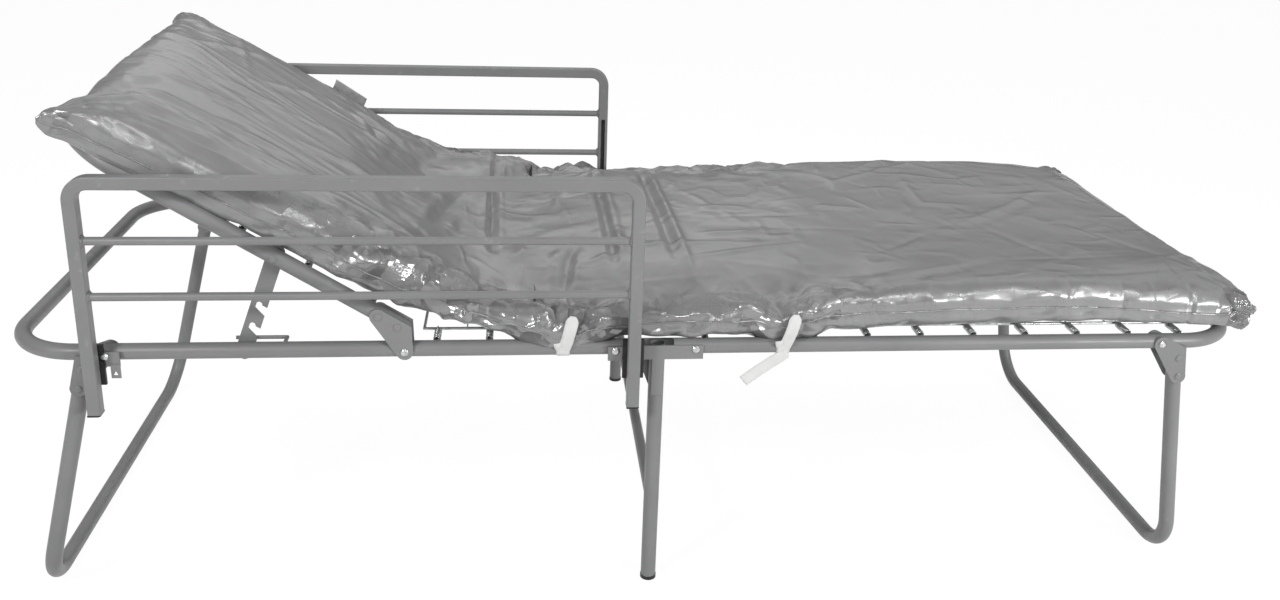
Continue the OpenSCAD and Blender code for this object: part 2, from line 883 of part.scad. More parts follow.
// Plastic plugs in the posts' lower ends, with one corner cut off
module post_caps() {
    plug = rail_tube - 2 * rail_wall - 0.3;
    plug_len = 12;
    color(black_plastic)
        for (x = [post_head_x, post_foot_x])
            translate([x, -side_y - post_mid, post_bottom_z]) {
                translate([0, 0, -3])
                    rotate([90, 0, 0])
                        translate([0, 0, -rail_tube / 2])
                            linear_extrude(rail_tube)
                                polygon([
                                    [-rail_tube / 2, 0], [-rail_tube / 2, 3],
                                    [rail_tube / 2, 3], [rail_tube / 2, 1.5], [rail_tube / 2 - 4, 0]
                                ]);
                translate([0, 0, -cut]) linear_extrude(plug_len + cut) rounded_square(plug, 1.2);
            }
}

module post_caps_near() {
    post_caps();
}

module post_caps_far() {
    mirror([0, 1, 0]) post_caps();
}

// A hanger's outline: an arm over the bolt and a pad behind the post
module hanger_outline(bolt_x, post_x, arm_end) {
    top = rail_h + hinge_plate_h * 0.3;
    low = top - hinge_plate_h;
    half_pad = 12;
    arm_x = min(bolt_x - arm_end, post_x - half_pad);
    arm_to = max(bolt_x + arm_end, post_x + half_pad);
    difference() {
        union() {
            translate([arm_x, low]) square([arm_to - arm_x, hinge_plate_h]);
            translate([post_x - half_pad, low]) square([2 * half_pad, rail_h + guide_high - low]);
        }
        translate([bolt_x, rail_h]) circle(r = bolt_r + pin_clear);
    }
}

// The head end's hangers also carry a joggled tab with a three-cornered eye
module rail_hangers_head() {
    tab_x = head_pivot_x + head_r + 2;
    tab_to = head_pivot_x + 22;
    low = rail_h + hinge_plate_h * 0.3 - hinge_plate_h;
    color(grey_paint)
        both_sides() {
            side_plate(hanger_in, hanger_out) {
                hanger_outline(head_pivot_x, post_head_x, 22);
            }
            side_plate(hanger_out - cut, hanger_out + 1.5)
                difference() {
                    polygon([[tab_x, low - 19], [tab_to, low - 19], [tab_to, low + 4], [tab_x, low + 4]]);
                    polygon([[tab_x + 3, low - 15], [tab_to - 3, low - 15], [(tab_x + tab_to) / 2, low - 7]]);
                }
        }
}

module rail_hangers_hinge() {
    color(grey_paint)
        both_sides()
            side_plate(hanger_in, hanger_out)
                hanger_outline(head_bolt_x, post_foot_x, hinge_plate_end);
}

// A black block behind each post, with a headed rider in the post's slot
module rail_guide(post_x) {
    pocket_r = head_r + 1;
    difference() {
        side_plate(hanger_out + weld_gap, guide_out)
            translate([post_x - guide_w / 2, rail_h - guide_low])
                square([guide_w, guide_low + guide_high]);
        for (x = [head_pivot_x, head_bolt_x])
            side_pin(x, rail_h, hanger_out, guide_out + cut, pocket_r);
    }
    side_plate(guide_out - cut, post_in + rail_wall + rider_slack + rider_head_t)
        translate([post_x - rider_neck_w / 2, rail_h - rider_half])
            square([rider_neck_w, 2 * rider_half]);
    side_plate(post_in + rail_wall + rider_slack, post_in + rail_wall + rider_slack + rider_head_t)
        translate([post_x - rider_head_w / 2, rail_h - rider_half])
            square([rider_head_w, 2 * rider_half]);
}

module rail_guides() {
    color(black_plastic)
        both_sides()
            for (x = [post_head_x, post_foot_x])
                rail_guide(x);
}

// A ring of the mattress's section: "high" and "low" scale the top and the underside, "wide" the width
function pad_bend(v) = sign(v) * sqrt(abs(v));
function pad_section(high, low, wide) = [
    for (i = [0:pad_ring - 1])
        let (
            angle = 360 * (i + 0.5) / pad_ring,
            y = pad_half * wide * pad_bend(cos(angle)),
            s = pad_bend(sin(angle)),
            top = (pad_t / 2 - pad_crown) * s + pad_crown * s * (1 - pow(y / pad_half, 2)),
            z = s > 0 ? high * top : low * pad_t / 2 * s
        )
        [y, z + pad_t / 2]
];

// How far the mattress has rounded up at a distance from its sewn end
function pad_rise(distance) =
    let (left = 1 - min(distance, pad_round) / pad_round)
    max(0.12, sqrt(1 - left * left));

// How far a sewn channel draws the top down at a distance from its line
function channel_dip(distance) = channel_depth / pad_t * 2 * exp(-pow(distance / 14, 2));

// A ring in space: x, then the section. The sewn end's middle draws in, and its corners stand out
function pad_station(x, high, low, wide, draw) = [
    for (p = pad_section(high, low, wide))
        [x + draw * (1 - pow(p[0] / pad_half, 2)), p[0], p[1]]
];

// A loft through rings of equal count, closed with a fan at each end
module pad_loft(rings) {
    count = len(rings[0]);
    last = len(rings) - 1;
    points = [for (ring = rings) for (p = ring) p];
    first_mid = len(points);
    sides = [
        for (i = [0:last - 1], j = [0:count - 1])
            let (a = i * count + j, b = i * count + (j + 1) % count)
            for (face = [[a, a + count, b], [b, a + count, b + count]]) face
    ];
    mid_points = [ring_middle(rings[0]), ring_middle(rings[last])];
    start = [for (j = [0:count - 1]) [first_mid, j, (j + 1) % count]];
    end = [for (j = [0:count - 1]) [first_mid + 1, last * count + (j + 1) % count, last * count + j]];
    polyhedron(concat(points, mid_points), concat(sides, start, end));
}

function ring_total(ring, i) = i < 0 ? [0, 0, 0] : ring[i] + ring_total(ring, i - 1);
function ring_middle(ring) = ring_total(ring, len(ring) - 1) / len(ring);

// The mattress on the backrest, in the backrest's own frame
back_pad_end = back_len + pad_past_end;
function back_station(x) =
    let (rise = pad_rise(back_pad_end + x), draw = 14 * (1 - rise))
    pad_station(x, rise, rise, 1, draw);
function at_back_pad(p) =
    let (x = p[0], z = p[2] + gusset_offset + pad_z)
    [
        back_pivot_x + x * cos(back_angle) + z * sin(back_angle),
        p[1],
        rail_h - x * sin(back_angle) + z * cos(back_angle)
    ];
function at_seat_pad(p) = [p[0], p[1], p[2] + rail_h + pad_z];

back_places = concat(
    [for (i = [0:4]) -back_pad_end + pad_round * i * i / 16],
    [for (i = [1:7]) -back_pad_end + pad_round + (back_pad_end - pad_round - back_pad_start) * i / 7]
);

module mattress_back() {
    color(grey_vinyl)
        pad_loft([for (x = back_places) [for (p = back_station(x)) at_back_pad(p)]]);
}

// The crease between backrest and seat, from the one section to the other
function blend_ring(a, b, share) = [for (i = [0:len(a) - 1]) a[i] * (1 - share) + b[i] * share];
module mattress_hip() {
    back_ring = [for (p = back_station(-back_pad_start + pad_soft_gap)) at_back_pad(p)];
    seat_ring = [for (p = pad_station(seat_pad_x - pad_soft_gap, 1, 1, 1, 0)) at_seat_pad(p)];
    color(grey_vinyl)
        pad_loft([for (share = [0, 0.5, 1]) blend_ring(back_ring, seat_ring, share)]);
}

// A station of the seat, fold or foot part, with the channels' dips
function flat_station(x, rise) =
    let (
        dip = channel_dip(x - seat_channel_x) + channel_dip(x - fold_pad_head_x)
            + channel_dip(x - fold_pad_foot_x) + channel_dip(x - hinge_x)
    )
    [for (p = pad_station(x, rise * (1 - dip), rise, 1 - 0.02 * dip, rise < 1 ? -14 * (1 - rise) : 0)) at_seat_pad(p)];

module mattress_seat() {
    places = [for (i = [0:10]) seat_pad_x + (fold_pad_head_x - pad_soft_gap - seat_pad_x) * i / 10];
    color(grey_vinyl)
        pad_loft([for (x = places) flat_station(x, 1)]);
}

module mattress_fold() {
    places = [for (i = [0:12]) fold_pad_head_x + (fold_pad_foot_x - fold_pad_head_x) * i / 12];
    color(grey_vinyl)
        pad_loft([for (x = places) flat_station(x, 1)]);
}

module mattress_foot() {
    from = fold_pad_foot_x + pad_soft_gap;
    to = foot_x + pad_past_end;
    places = concat(
        [for (i = [0:3]) from + 12 * i],
        [for (i = [1:7]) from + 36 + (to - pad_round - from - 36) * i / 7],
        [for (i = [1:4]) to - pad_round * (1 - i / 4) * (1 - i / 4)]
    );
    color(grey_vinyl)
        pad_loft([for (x = places) flat_station(x, pad_rise(to - x))]);
}

// A strap from the mattress's seam, round under the rail and up inside it
module strap_outline() {
    difference() {
        circle(r = strap_out);
        circle(r = strap_in);
        translate([-2 * strap_out, 0]) square([4 * strap_out, 2 * strap_out]);
    }
    translate([strap_in, 0]) square([strap_t, tube_r]);
    polygon([
        [-strap_in, 0], [-strap_out, 0],
        [-pad_overhang - 0.6 - strap_t, strap_high], [-pad_overhang - 0.6, strap_high]
    ]);
}

module strap_loop(x) {
    translate([x - strap_w / 2, -side_y, rail_h])
        rotate([90, 0, 90])
            linear_extrude(strap_w)
                strap_outline();
}

module strap_loops_head() {
    color(white_webbing) both_sides() strap_loop(strap_head_x);
}

// The foot half's straps end in a loose tail under the rail
module strap_loops_foot() {
    tail_w = strap_w - 10;
    tail_len = 50;
    color(white_webbing)
        both_sides() {
            strap_loop(strap_foot_x);
            translate([strap_foot_x - strap_w / 2 + 8, -side_y, rail_h - strap_out + 0.3])
                rotate([0, 35, 0])
                    translate([0, -strap_t / 2, -tail_len])
                        cube([tail_w, strap_t, tail_len]);
        }
}

// A fabric tab sewn into the seam at the far edge of the mattress, on the backrest
module mattress_tab() {
    color(white_webbing)
        at_backrest()
            translate([-314, pad_edge + pad_soft_gap, gusset_offset + pad_z + pad_t / 2 - 4])
                cube([78, 1.5, 40]);
}

head_frame_tube();
foot_frame_tube();
hinge_plates_outer();
hinge_plates_inner();
hinge_bolts();
centre_leg_near();
centre_leg_far();
centre_leg_crossbar();
centre_leg_feet();
head_leg_tube();
head_leg_gussets();
head_leg_rivets();
head_leg_bolts();
foot_leg_tube();
foot_leg_gussets();
foot_leg_rivets();
foot_leg_bolts();
backrest_tube();
backrest_gussets();
backrest_rivets();
backrest_bolts();
prop_struts();
prop_rivets();
prop_pins();
prop_guides();
backrest_deck();
seat_deck();
foot_deck();
backrest_springs();
seat_springs();
foot_springs();
side_rail_near();
side_rail_far();
rail_bars_near();
rail_bars_far();
post_caps_near();
post_caps_far();
rail_hangers_head();
rail_hangers_hinge();
rail_guides();
mattress_back();
mattress_hip();
mattress_seat();
mattress_fold();
mattress_foot();
strap_loops_head();
strap_loops_foot();
mattress_tab();
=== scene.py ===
import math

import bpy
import numpy as np
from mathutils import Matrix, Vector, noise


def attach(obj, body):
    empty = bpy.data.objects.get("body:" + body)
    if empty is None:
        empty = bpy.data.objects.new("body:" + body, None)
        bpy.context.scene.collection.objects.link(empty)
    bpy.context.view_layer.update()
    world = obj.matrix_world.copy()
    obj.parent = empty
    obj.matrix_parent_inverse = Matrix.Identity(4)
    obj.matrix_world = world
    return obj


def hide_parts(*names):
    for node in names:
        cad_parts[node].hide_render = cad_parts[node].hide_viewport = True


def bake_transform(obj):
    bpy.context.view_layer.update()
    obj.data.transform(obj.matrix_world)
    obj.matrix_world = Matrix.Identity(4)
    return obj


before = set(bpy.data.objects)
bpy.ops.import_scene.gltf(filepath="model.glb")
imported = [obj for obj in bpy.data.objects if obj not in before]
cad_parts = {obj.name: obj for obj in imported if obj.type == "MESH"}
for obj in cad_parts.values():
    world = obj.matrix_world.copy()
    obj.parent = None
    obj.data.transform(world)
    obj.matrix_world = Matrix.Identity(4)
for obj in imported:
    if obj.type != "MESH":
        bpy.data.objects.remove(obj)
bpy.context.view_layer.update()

# Camera. It stands off the near side, higher than the raised backrest, and looks down a little.
# Its place, lens and small shift were fitted to the straight tubes, the bends and the feet.
eye_place = Vector((-0.2214, -2.1115, 1.2352))
eye_yaw = 0.1167
eye_pitch = 0.31907
eye_roll = 0.03894
eye_ahead = Vector((
    math.sin(eye_yaw) * math.cos(eye_pitch),
    math.cos(eye_yaw) * math.cos(eye_pitch),
    -math.sin(eye_pitch)))
eye_level = Vector((math.cos(eye_yaw), -math.sin(eye_yaw), 0))
eye_rise = eye_level.cross(eye_ahead)
eye_right = math.cos(eye_roll) * eye_level + math.sin(eye_roll) * eye_rise
eye_up = math.cos(eye_roll) * eye_rise - math.sin(eye_roll) * eye_level
eye = bpy.data.objects.new("camera", bpy.data.cameras.new("camera"))
eye.data.sensor_width = 36
eye.data.lens = 33.227
eye.data.shift_x = -0.0097
eye.data.shift_y = -0.0672
eye.data.clip_end = 60
eye.matrix_world = Matrix.Translation(eye_place) @ Matrix(
    (eye_right, eye_up, -eye_ahead)).transposed().to_4x4()
bpy.context.collection.objects.link(eye)
bpy.context.scene.camera = eye


# Frame tubes, end legs, backrest tube and gussets. They are steel tube and plate, bolted and riveted,
# under one grey powder coat: satin, with the coat's fine orange peel, a little uneven in tone, and
# rubbed a touch brighter in small scuffs.
class Nodes:
    """The shader nodes of one finish, or of the studio's walls."""

    def __init__(self, holder):
        holder.use_nodes = True
        self.holder = holder
        self.tree = holder.node_tree
        self.places = self.add("TexCoord", {}).outputs

    def join(self, value, socket):
        """Sets a socket to a constant, or joins it to another node."""
        if isinstance(value, bpy.types.NodeSocket):
            self.tree.links.new(value, socket)
        else:
            socket.default_value = value

    def add(self, kind, inputs, **settings):
        """A new node of a kind, with its settings and its inputs."""
        node = self.tree.nodes.new("ShaderNode" + kind)
        for name, value in settings.items():
            setattr(node, name, value)
        for key, value in inputs.items():
            self.join(value, node.inputs[key])
        return node

    def carried(self, name, kind="Fac"):
        """What each point of the mesh carries under a name."""
        return self.add("Attribute", {}, attribute_name=name).outputs[kind]

    def grain(self, per_metre, detail=2.0, squeeze=(1, 1, 1), where=None):
        """Uneven spots, so many to a metre, drawn out along an axis by a squeeze of the others."""
        where = where or self.places["Object"]
        if squeeze != (1, 1, 1):
            where = self.add("Mapping", {"Vector": where, "Scale": squeeze}).outputs["Vector"]
        return self.add("TexNoise", {"Vector": where, "Scale": per_metre, "Detail": detail}).outputs["Fac"]

    def ramp(self, value, low, high, at_low, at_high):
        """Turns a value between low and high into one between at_low and at_high."""
        ends = {"From Min": low, "From Max": high, "To Min": at_low, "To Max": at_high}
        return self.add("MapRange", {"Value": value, **ends}).outputs["Result"]

    def combine(self, kind, first, second=0.0):
        """Two values worked into one."""
        return self.add("Math", {0: first, 1: second}, operation=kind).outputs["Value"]

    def two_tones(self, value, dark, light):
        """The surface's colour, from dark to light as the value goes from 0 to 1."""
        dark, light = ((*tone, 1) if isinstance(tone, tuple) else tone for tone in (dark, light))
        tone = self.add("Mix", {}, data_type="RGBA")
        for key, part in (("Factor", value), ("A", dark), ("B", light)):
            self.join(part, tone.inputs[key])
        self.join(tone.outputs["Result"], self.shader.inputs["Base Color"])
        return tone.outputs["Result"]

    def roughen(self, per_metre, detail, least, most):
        """Makes the surface rougher in some spots than in others."""
        rough = self.ramp(self.grain(per_metre, detail), 0.3, 0.7, least, most)
        self.join(rough, self.shader.inputs["Roughness"])

    def relief(self, value, strength, depth, under=None):
        """Raises the surface by the value, over an earlier relief if there is one."""
        bump = self.add("Bump", {"Strength": strength, "Distance": depth, "Height": value})
        if under:
            self.join(under, bump.inputs["Normal"])
        self.join(bump.outputs["Normal"], self.shader.inputs["Normal"])
        return bump.outputs["Normal"]


def start_finish(name, rough, metal=0.0):
    """A new finish with its shader."""
    finish = Nodes(bpy.data.materials.new(name))
    finish.shader = finish.tree.nodes["Principled BSDF"]
    finish.shader.inputs["Roughness"].default_value = rough
    finish.shader.inputs["Metallic"].default_value = metal
    return finish


def coat(finish, *names):
    """Gives CAD nodes a finish in place of their plain one."""
    for name in names:
        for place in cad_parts[name].material_slots:
            place.material = finish.holder


powder_coat = start_finish("grey_powder_coat", 0.4)
powder_coat.two_tones(
    powder_coat.combine(
        "ADD", powder_coat.ramp(powder_coat.grain(7, 3), 0.3, 0.7, 0.1, 0.5),
        powder_coat.ramp(powder_coat.grain(46, 6), 0.66, 0.74, 0, 0.5)),
    (0.195, 0.196, 0.199), (0.28, 0.281, 0.285))
powder_coat.roughen(30, 4, 0.33, 0.47)
orange_peel = powder_coat.relief(powder_coat.grain(620, 1), 0.22, 0.0006)
powder_coat.relief(powder_coat.grain(90, 2), 0.12, 0.0012, orange_peel)
coat(powder_coat, "head_frame_tube", "foot_frame_tube")
for part in ("head_leg", "foot_leg", "backrest"):
    coat(powder_coat, part + "_tube", part + "_gussets", part + "_rivets")


# Centre hinge and centre legs. Two T-shaped plates a side hold both half frames on bolts, and the
# legs hang from them, joined by a bar. Plates and legs have the frame's coat, the bolts are zinc
# plated, and each leg stands on a moulded black foot.
def spotted_finish(name, rough, metal, spots, dark, light, pebble, uneven=None):
    """A finish of two tones in spots, with a fine pebble and uneven roughness."""
    finish = start_finish(name, rough, metal)
    per_metre, detail, low, high = spots
    finish.two_tones(finish.ramp(finish.grain(per_metre, detail), low, high, 0, 1), dark, light)
    if uneven:
        finish.roughen(*uneven)
    per_metre, detail, strength, depth = pebble
    finish.relief(finish.grain(per_metre, detail), strength, depth)
    return finish


coat(
    powder_coat,
    "hinge_plates_outer", "hinge_plates_inner", "centre_leg_near", "centre_leg_far", "centre_leg_crossbar")
zinc_plate = spotted_finish(
    "bright_zinc_plate", 0.3, 1.0, spots=(160, 3, 0.35, 0.65), dark=(0.5, 0.505, 0.515),
    light=(0.74, 0.745, 0.75), pebble=(900, 2, 0.15, 0.0004), uneven=(240, 4, 0.2, 0.42))
coat(zinc_plate, "hinge_bolts")
moulded_black = spotted_finish(
    "moulded_black", 0.5, 0.0, spots=(60, 4, 0.35, 0.75), dark=(0.008, 0.008, 0.009),
    light=(0.026, 0.026, 0.027), pebble=(1500, 1, 0.2, 0.0003), uneven=(130, 3, 0.38, 0.6))
coat(moulded_black, "centre_leg_feet")


# End legs. Each is one tube bent into a U, clamped between gusset plates by two rivets a side, and
# it turns on a zinc-plated bolt through the rail.
coat(zinc_plate, "head_leg_bolts", "foot_leg_bolts")


# Backrest. Its bent tube turns on two bolts in the head half, and stands on flat notched props
# that hook onto pins in the rails. A wire finger keeps each prop beside its rail.
coat(powder_coat, "prop_struts", "prop_rivets", "prop_guides")
coat(zinc_plate, "backrest_bolts", "prop_pins")


# Wire decks. Drawn steel wire, spot welded into a net with a thicker border and zinc plated, hangs
# in each part of the frame under the mattress. Drawing left fine marks along the wires.
wire_zinc = spotted_finish(
    "zinc_wire", 0.32, 1.0, spots=(90, 4, 0.35, 0.7), dark=(0.4, 0.405, 0.41),
    light=(0.7, 0.705, 0.71), pebble=(1400, 1, 0.12, 0.0003), uneven=(300, 2, 0.22, 0.45))
coat(wire_zinc, "backrest_deck", "seat_deck", "foot_deck")


# Springs. Each is close-wound zinc-plated wire: a barrel just inside the tube, a straight end that
# runs into a hole in the tube, and at the other end an eye round the deck's border wire.
tube_r = 0.0127
rail_z = 0.435
side_y = 0.38
head_end_x = -1.009
foot_end_x = 1.009
spring_up = 0.007
spring_wire_r = 0.001
spring_turn_r = 0.005
spring_pitch = 0.00212
steps_a_turn = 14
barrel_from = 0.0167
barrel_to = 0.0532
border_at = 0.06
eye_r = 0.0038
end_spring_gap = 0.098


def spring_line():
    """The wire's centre line: x across, y inwards from the tube's centre line, z up."""
    line = [(0, 0.0096, -0.0012), (0, 0.0112, 0.0), (0.0012, 0.0134, 0.0009), (0.003, 0.0152, 0.0022)]
    steps = int((barrel_to - barrel_from) / spring_pitch) * steps_a_turn
    for i in range(steps + 1):
        turn = 2 * math.pi * i / steps_a_turn + math.pi / 4
        line.append((
            spring_turn_r * math.cos(turn),
            barrel_from + (barrel_to - barrel_from) * i / steps,
            spring_turn_r * math.sin(turn)))
    line += [(0.0022, barrel_to + 0.0014, 0.0014), (0.0008, barrel_to + 0.0024, -0.0012)]
    for i in range(11):
        turn = math.pi + math.radians(-40 + 32 * i)
        line.append((0.0007 - 0.0002 * i, border_at + eye_r * math.cos(turn), eye_r * math.sin(turn)))
    return np.array(line)


def sweep(line, r, sides=6):
    """A round wire along a line: its points and faces, closed at both ends."""
    line = np.asarray(line, float)
    way = np.gradient(line, axis=0)
    way /= np.linalg.norm(way, axis=1)[:, None]
    up = np.cross(way[0], (0.31, 0.27, 0.91))
    up /= np.linalg.norm(up)
    rings = []
    for point, ahead in zip(line, way):
        up = up - ahead * np.dot(up, ahead)
        up /= np.linalg.norm(up)
        across = np.cross(ahead, up)
        turn = 2 * np.pi * np.arange(sides) / sides
        rings.append(point + r * (np.cos(turn)[:, None] * up + np.sin(turn)[:, None] * across))
    return np.vstack(rings), ring_faces(len(line), sides)


def ring_faces(rings, sides, round_again=False):
    """The faces between rings of points, with a lid at each end or on from the last ring to the first."""
    faces = []
    for i in range(rings if round_again else rings - 1):
        a, b = i * sides, (i + 1) % rings * sides
        faces += [(a + k, a + (k + 1) % sides, b + (k + 1) % sides, b + k) for k in range(sides)]
    if not round_again:
        faces += [tuple(range(sides))[::-1], tuple(range(b, b + sides))]
    return faces


def merge(parts):
    """Several sets of points and faces as one."""
    points, faces, start = [], [], 0
    for part_points, part_faces in parts:
        points.append(part_points)
        faces += [tuple(int(v) + start for v in face) for face in part_faces]
        start += len(part_points)
    return np.vstack(points), faces


def make_piece(name, points, faces, finish):
    """A mesh object of points and faces in a finish."""
    mesh = bpy.data.meshes.new(name)
    mesh.from_pydata([tuple(p) for p in points], [], [tuple(f) for f in faces])
    mesh.validate()
    mesh.update()
    mesh.polygons.foreach_set("use_smooth", [True] * len(mesh.polygons))
    mesh.materials.append(finish.holder)
    piece = bpy.data.objects.new(name, mesh)
    bpy.context.collection.objects.link(piece)
    return piece


one_spring = sweep(spring_line(), spring_wire_r)


def spring_at(x, y, z, turned):
    """One spring with its tube's centre at a place, turned about the upright axis."""
    points, faces = one_spring
    c, s = math.cos(turned), math.sin(turned)
    turned_points = points @ np.array(((c, s, 0), (-s, c, 0), (0, 0, 1)))
    return turned_points + np.array((x, y, z)), faces


def side_springs(first, gap, count, z):
    """Pairs of springs across the two sides, from the first place along X at even gaps."""
    found = []
    for i in range(count):
        x = first + gap * i
        found += [spring_at(x, -side_y, z, 0.0), spring_at(x, side_y, z, math.pi)]
    return found


def end_springs(x, z, turned):
    """Five springs along an end bar."""
    return [spring_at(x, end_spring_gap * i, z, turned) for i in (-2, -1, 0, 1, 2)]


backrest_tilt = math.radians(32)
backrest_pivot = np.array((-0.402, 0, rail_z))
backrest_tube_out = 0.03
backrest_len = 0.607
lean = np.array((
    (math.cos(backrest_tilt), 0, -math.sin(backrest_tilt)),
    (0, 1, 0),
    (math.sin(backrest_tilt), 0, math.cos(backrest_tilt))))
back_z = backrest_tube_out + spring_up
level_z = rail_z + spring_up
back_springs = side_springs(first=-0.082, gap=-0.112, count=4, z=back_z)
back_springs += end_springs(-backrest_len, back_z, -math.pi / 2)
back_springs = [(points @ lean + backrest_pivot, faces) for points, faces in back_springs]
seat_springs = side_springs(first=head_end_x + 0.655, gap=0.083, count=4, z=level_z)
foot_springs = side_springs(first=0.078, gap=0.091, count=10, z=level_z)
foot_springs += end_springs(foot_end_x, level_z, math.pi / 2)
for part, found, body in (
        ("backrest", back_springs, "backrest"), ("seat", seat_springs, "head_half"),
        ("foot", foot_springs, "foot_half")):
    springs = make_piece("springs_" + part, *merge(found), wire_zinc)
    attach(springs, body)
    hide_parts(part + "_springs")


# Side rails. A square tube is bent into each rail's top and posts, and two round bars are welded in
# between the posts. Black plugs close the posts, whose slots run on black blocks on steel hangers.
post_head_x = -0.867
post_foot_x = -0.043
post_half = 0.01
post_mid = 0.034
bar_r = 0.00635
bar_heights = (0.627, 0.539)
weld_steps = 28
weld_profile = (
    (0.0, 0.0034), (0.0008, 0.003), (0.0019, 0.0016), (0.0032, 0.0002), (0.0032, -0.0008), (0.0, -0.0008))
coat(
    powder_coat,
    "side_rail_near", "side_rail_far", "rail_bars_near", "rail_bars_far",
    "rail_hangers_head", "rail_hangers_hinge")
coat(moulded_black, "post_caps_near", "post_caps_far", "rail_guides")


def weld_bead(x, y, z, away):
    """A lumpy fillet round a bar's end where it meets its post."""
    points = []
    for i in range(weld_steps):
        turn = 2 * math.pi * i / weld_steps
        swell = 1 + 0.16 * math.sin(5 * turn + 40 * z) + 0.12 * math.sin(11 * turn + 90 * x)
        for out, high in weld_profile:
            r = bar_r + high * (swell if high > 0 else 1)
            points.append((x + away * out * swell, y + r * math.cos(turn), z + r * math.sin(turn)))
    faces = ring_faces(weld_steps, len(weld_profile), round_again=True)
    return np.array(points), [face[::away] for face in faces]


for side, name, body in ((-1, "near", "near_rail"), (1, "far", "far_rail")):
    beads = merge([
        weld_bead(x, side * (side_y + post_mid), z, away)
        for z in bar_heights
        for x, away in ((post_head_x + post_half, 1), (post_foot_x - post_half, -1))])
    welds = make_piece("rail_welds_" + name, *beads, powder_coat)
    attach(welds, body)


# Mattress. A thin foam pad lies in one sewn cover of coated grey cloth, a little too large for it.
# The cover is satin and fairly smooth on top, drawn into long soft folds, and shiny and crushed down
# its walls, round the seam below mid height and at the four gathered corners. It bends at the hips.
pad_thick = 0.064
pad_crown = 0.006
pad_half = 0.398
pad_len = 2.0198
seam_high = 0.43 * pad_thick
back_run = 0.5481
back_start = (0.619, 0.0433)
hip_r = 0.4
hip_run = hip_r * backrest_tilt
level_from = back_run + hip_run + 0.2273
cut_1 = level_from - 0.2
cut_2 = level_from - 0.006
wall_round = 0.05
foot_round = 0.022
end_round = 0.05
draw_reach = 0.16


def lay_on(t, y, h):
    """Points at a length t from the head end, a width y and a height h over what the mattress lies on."""
    tilt = backrest_tilt - np.clip((t - back_run) / hip_r, 0, backrest_tilt)
    s, n = back_start
    c, d = math.cos(backrest_tilt), math.sin(backrest_tilt)
    start = np.array((backrest_pivot[0] - s * c + n * d, rail_z + s * d + n * c))
    middle = start + back_run * np.array((c, -d)) + hip_r * np.array((d, c))
    straight = np.minimum(t - back_run, 0)
    level = np.maximum(t - back_run - hip_run, 0)
    x = middle[0] - hip_r * np.sin(tilt) + straight * c + level
    z = middle[1] - hip_r * np.cos(tilt) - straight * d
    return np.stack((x + h * np.sin(tilt), y, z + h * np.cos(tilt)), axis=-1)


def round_off(distance, r, power=2.0):
    """How much of its height an edge has reached at a distance in from its rim."""
    left = 1 - np.minimum(distance, r) / r
    return np.maximum(1 - left ** power, 0) ** (1 / power)


def edge_places(length, r, fine, coarse):
    """Distances from one rim to the other: evenly round the edge, fine near it, coarse between."""
    turns = np.linspace(0, math.pi / 2, 9)
    edge = list(r * (1 - np.cos(turns)))
    for _ in range(9):
        edge.append(edge[-1] + fine)
    count = int(round((length - 2 * edge[-1]) / coarse))
    middle = np.linspace(edge[-1], length - edge[-1], count + 1)[1:-1]
    return np.concatenate((edge, middle, length - np.array(edge[::-1])))


def smooth_step(value, low, high):
    """From 0 at low to 1 at high, with soft ends."""
    share = np.clip((value - low) / (high - low), 0, 1)
    return share * share * (3 - 2 * share)


def fade(distance, reach, power=2):
    """1 where the distance is 0, and less further out. The power makes its top flatter or sharper."""
    return np.exp(-(distance / reach) ** power)


row_t = edge_places(pad_len, end_round, 0.0065, 0.008)
for cut in (cut_1, cut_2):
    row_t[np.argmin(abs(row_t - cut))] = cut
col_y = edge_places(2 * pad_half, wall_round, 0.0065, 0.0105) - pad_half
rows, cols = len(row_t), len(col_y)
grid_t, grid_y = np.meshgrid(row_t, col_y, indexing="ij")
from_end = np.minimum(grid_t, pad_len - grid_t)
from_side = pad_half - abs(grid_y)
from_hip = grid_t - back_run - 0.5 * hip_run
at_head = grid_t < pad_len / 2
near_side = grid_y < 0

# The ends draw in a little between the corners, which stand out or are gathered in as ears.
corner_out = np.hypot(from_end, from_side)
corner_turn = np.arctan2(from_end, from_side)
at_corner = fade(from_end + from_side, 0.06, 1.5)
head_draw = np.interp(
    grid_y, (-0.398, -0.36, -0.31, -0.24, -0.15, 0, 0.1, 0.2, 0.34, 0.398),
    (0.0, 0.015, 0.018, 0.012, 0.009, 0.003, -0.004, -0.008, -0.011, -0.004))
foot_draw = 0.002 * (1 - (grid_y / pad_half) ** 4)
draw = np.where(at_head, head_draw, foot_draw) * fade(from_end, draw_reach)
side_draw = 0.006 * fade(from_side, draw_reach) * smooth_step(from_end, 0.02, 0.3)
flat_t = grid_t + np.where(at_head, 1, -1) * draw
flat_y = grid_y - np.sign(grid_y) * side_draw
corner_high = np.zeros_like(grid_t)
for here, move_t, move_y, move_h in (
        (at_head & near_side, 0.004, -0.018, -0.001), (at_head & ~near_side, -0.02, 0.004, 0.006),
        (~at_head & near_side, -0.026, -0.006, 0.009), (~at_head & ~near_side, -0.01, 0.006, 0.006)):
    flat_t = flat_t + move_t * at_corner * here
    flat_y = flat_y + move_y * at_corner * here
    corner_high = corner_high + move_h * at_corner * here
corner_high = corner_high + 0.006 * fade(corner_out - 0.045, 0.025) * (at_head & near_side)

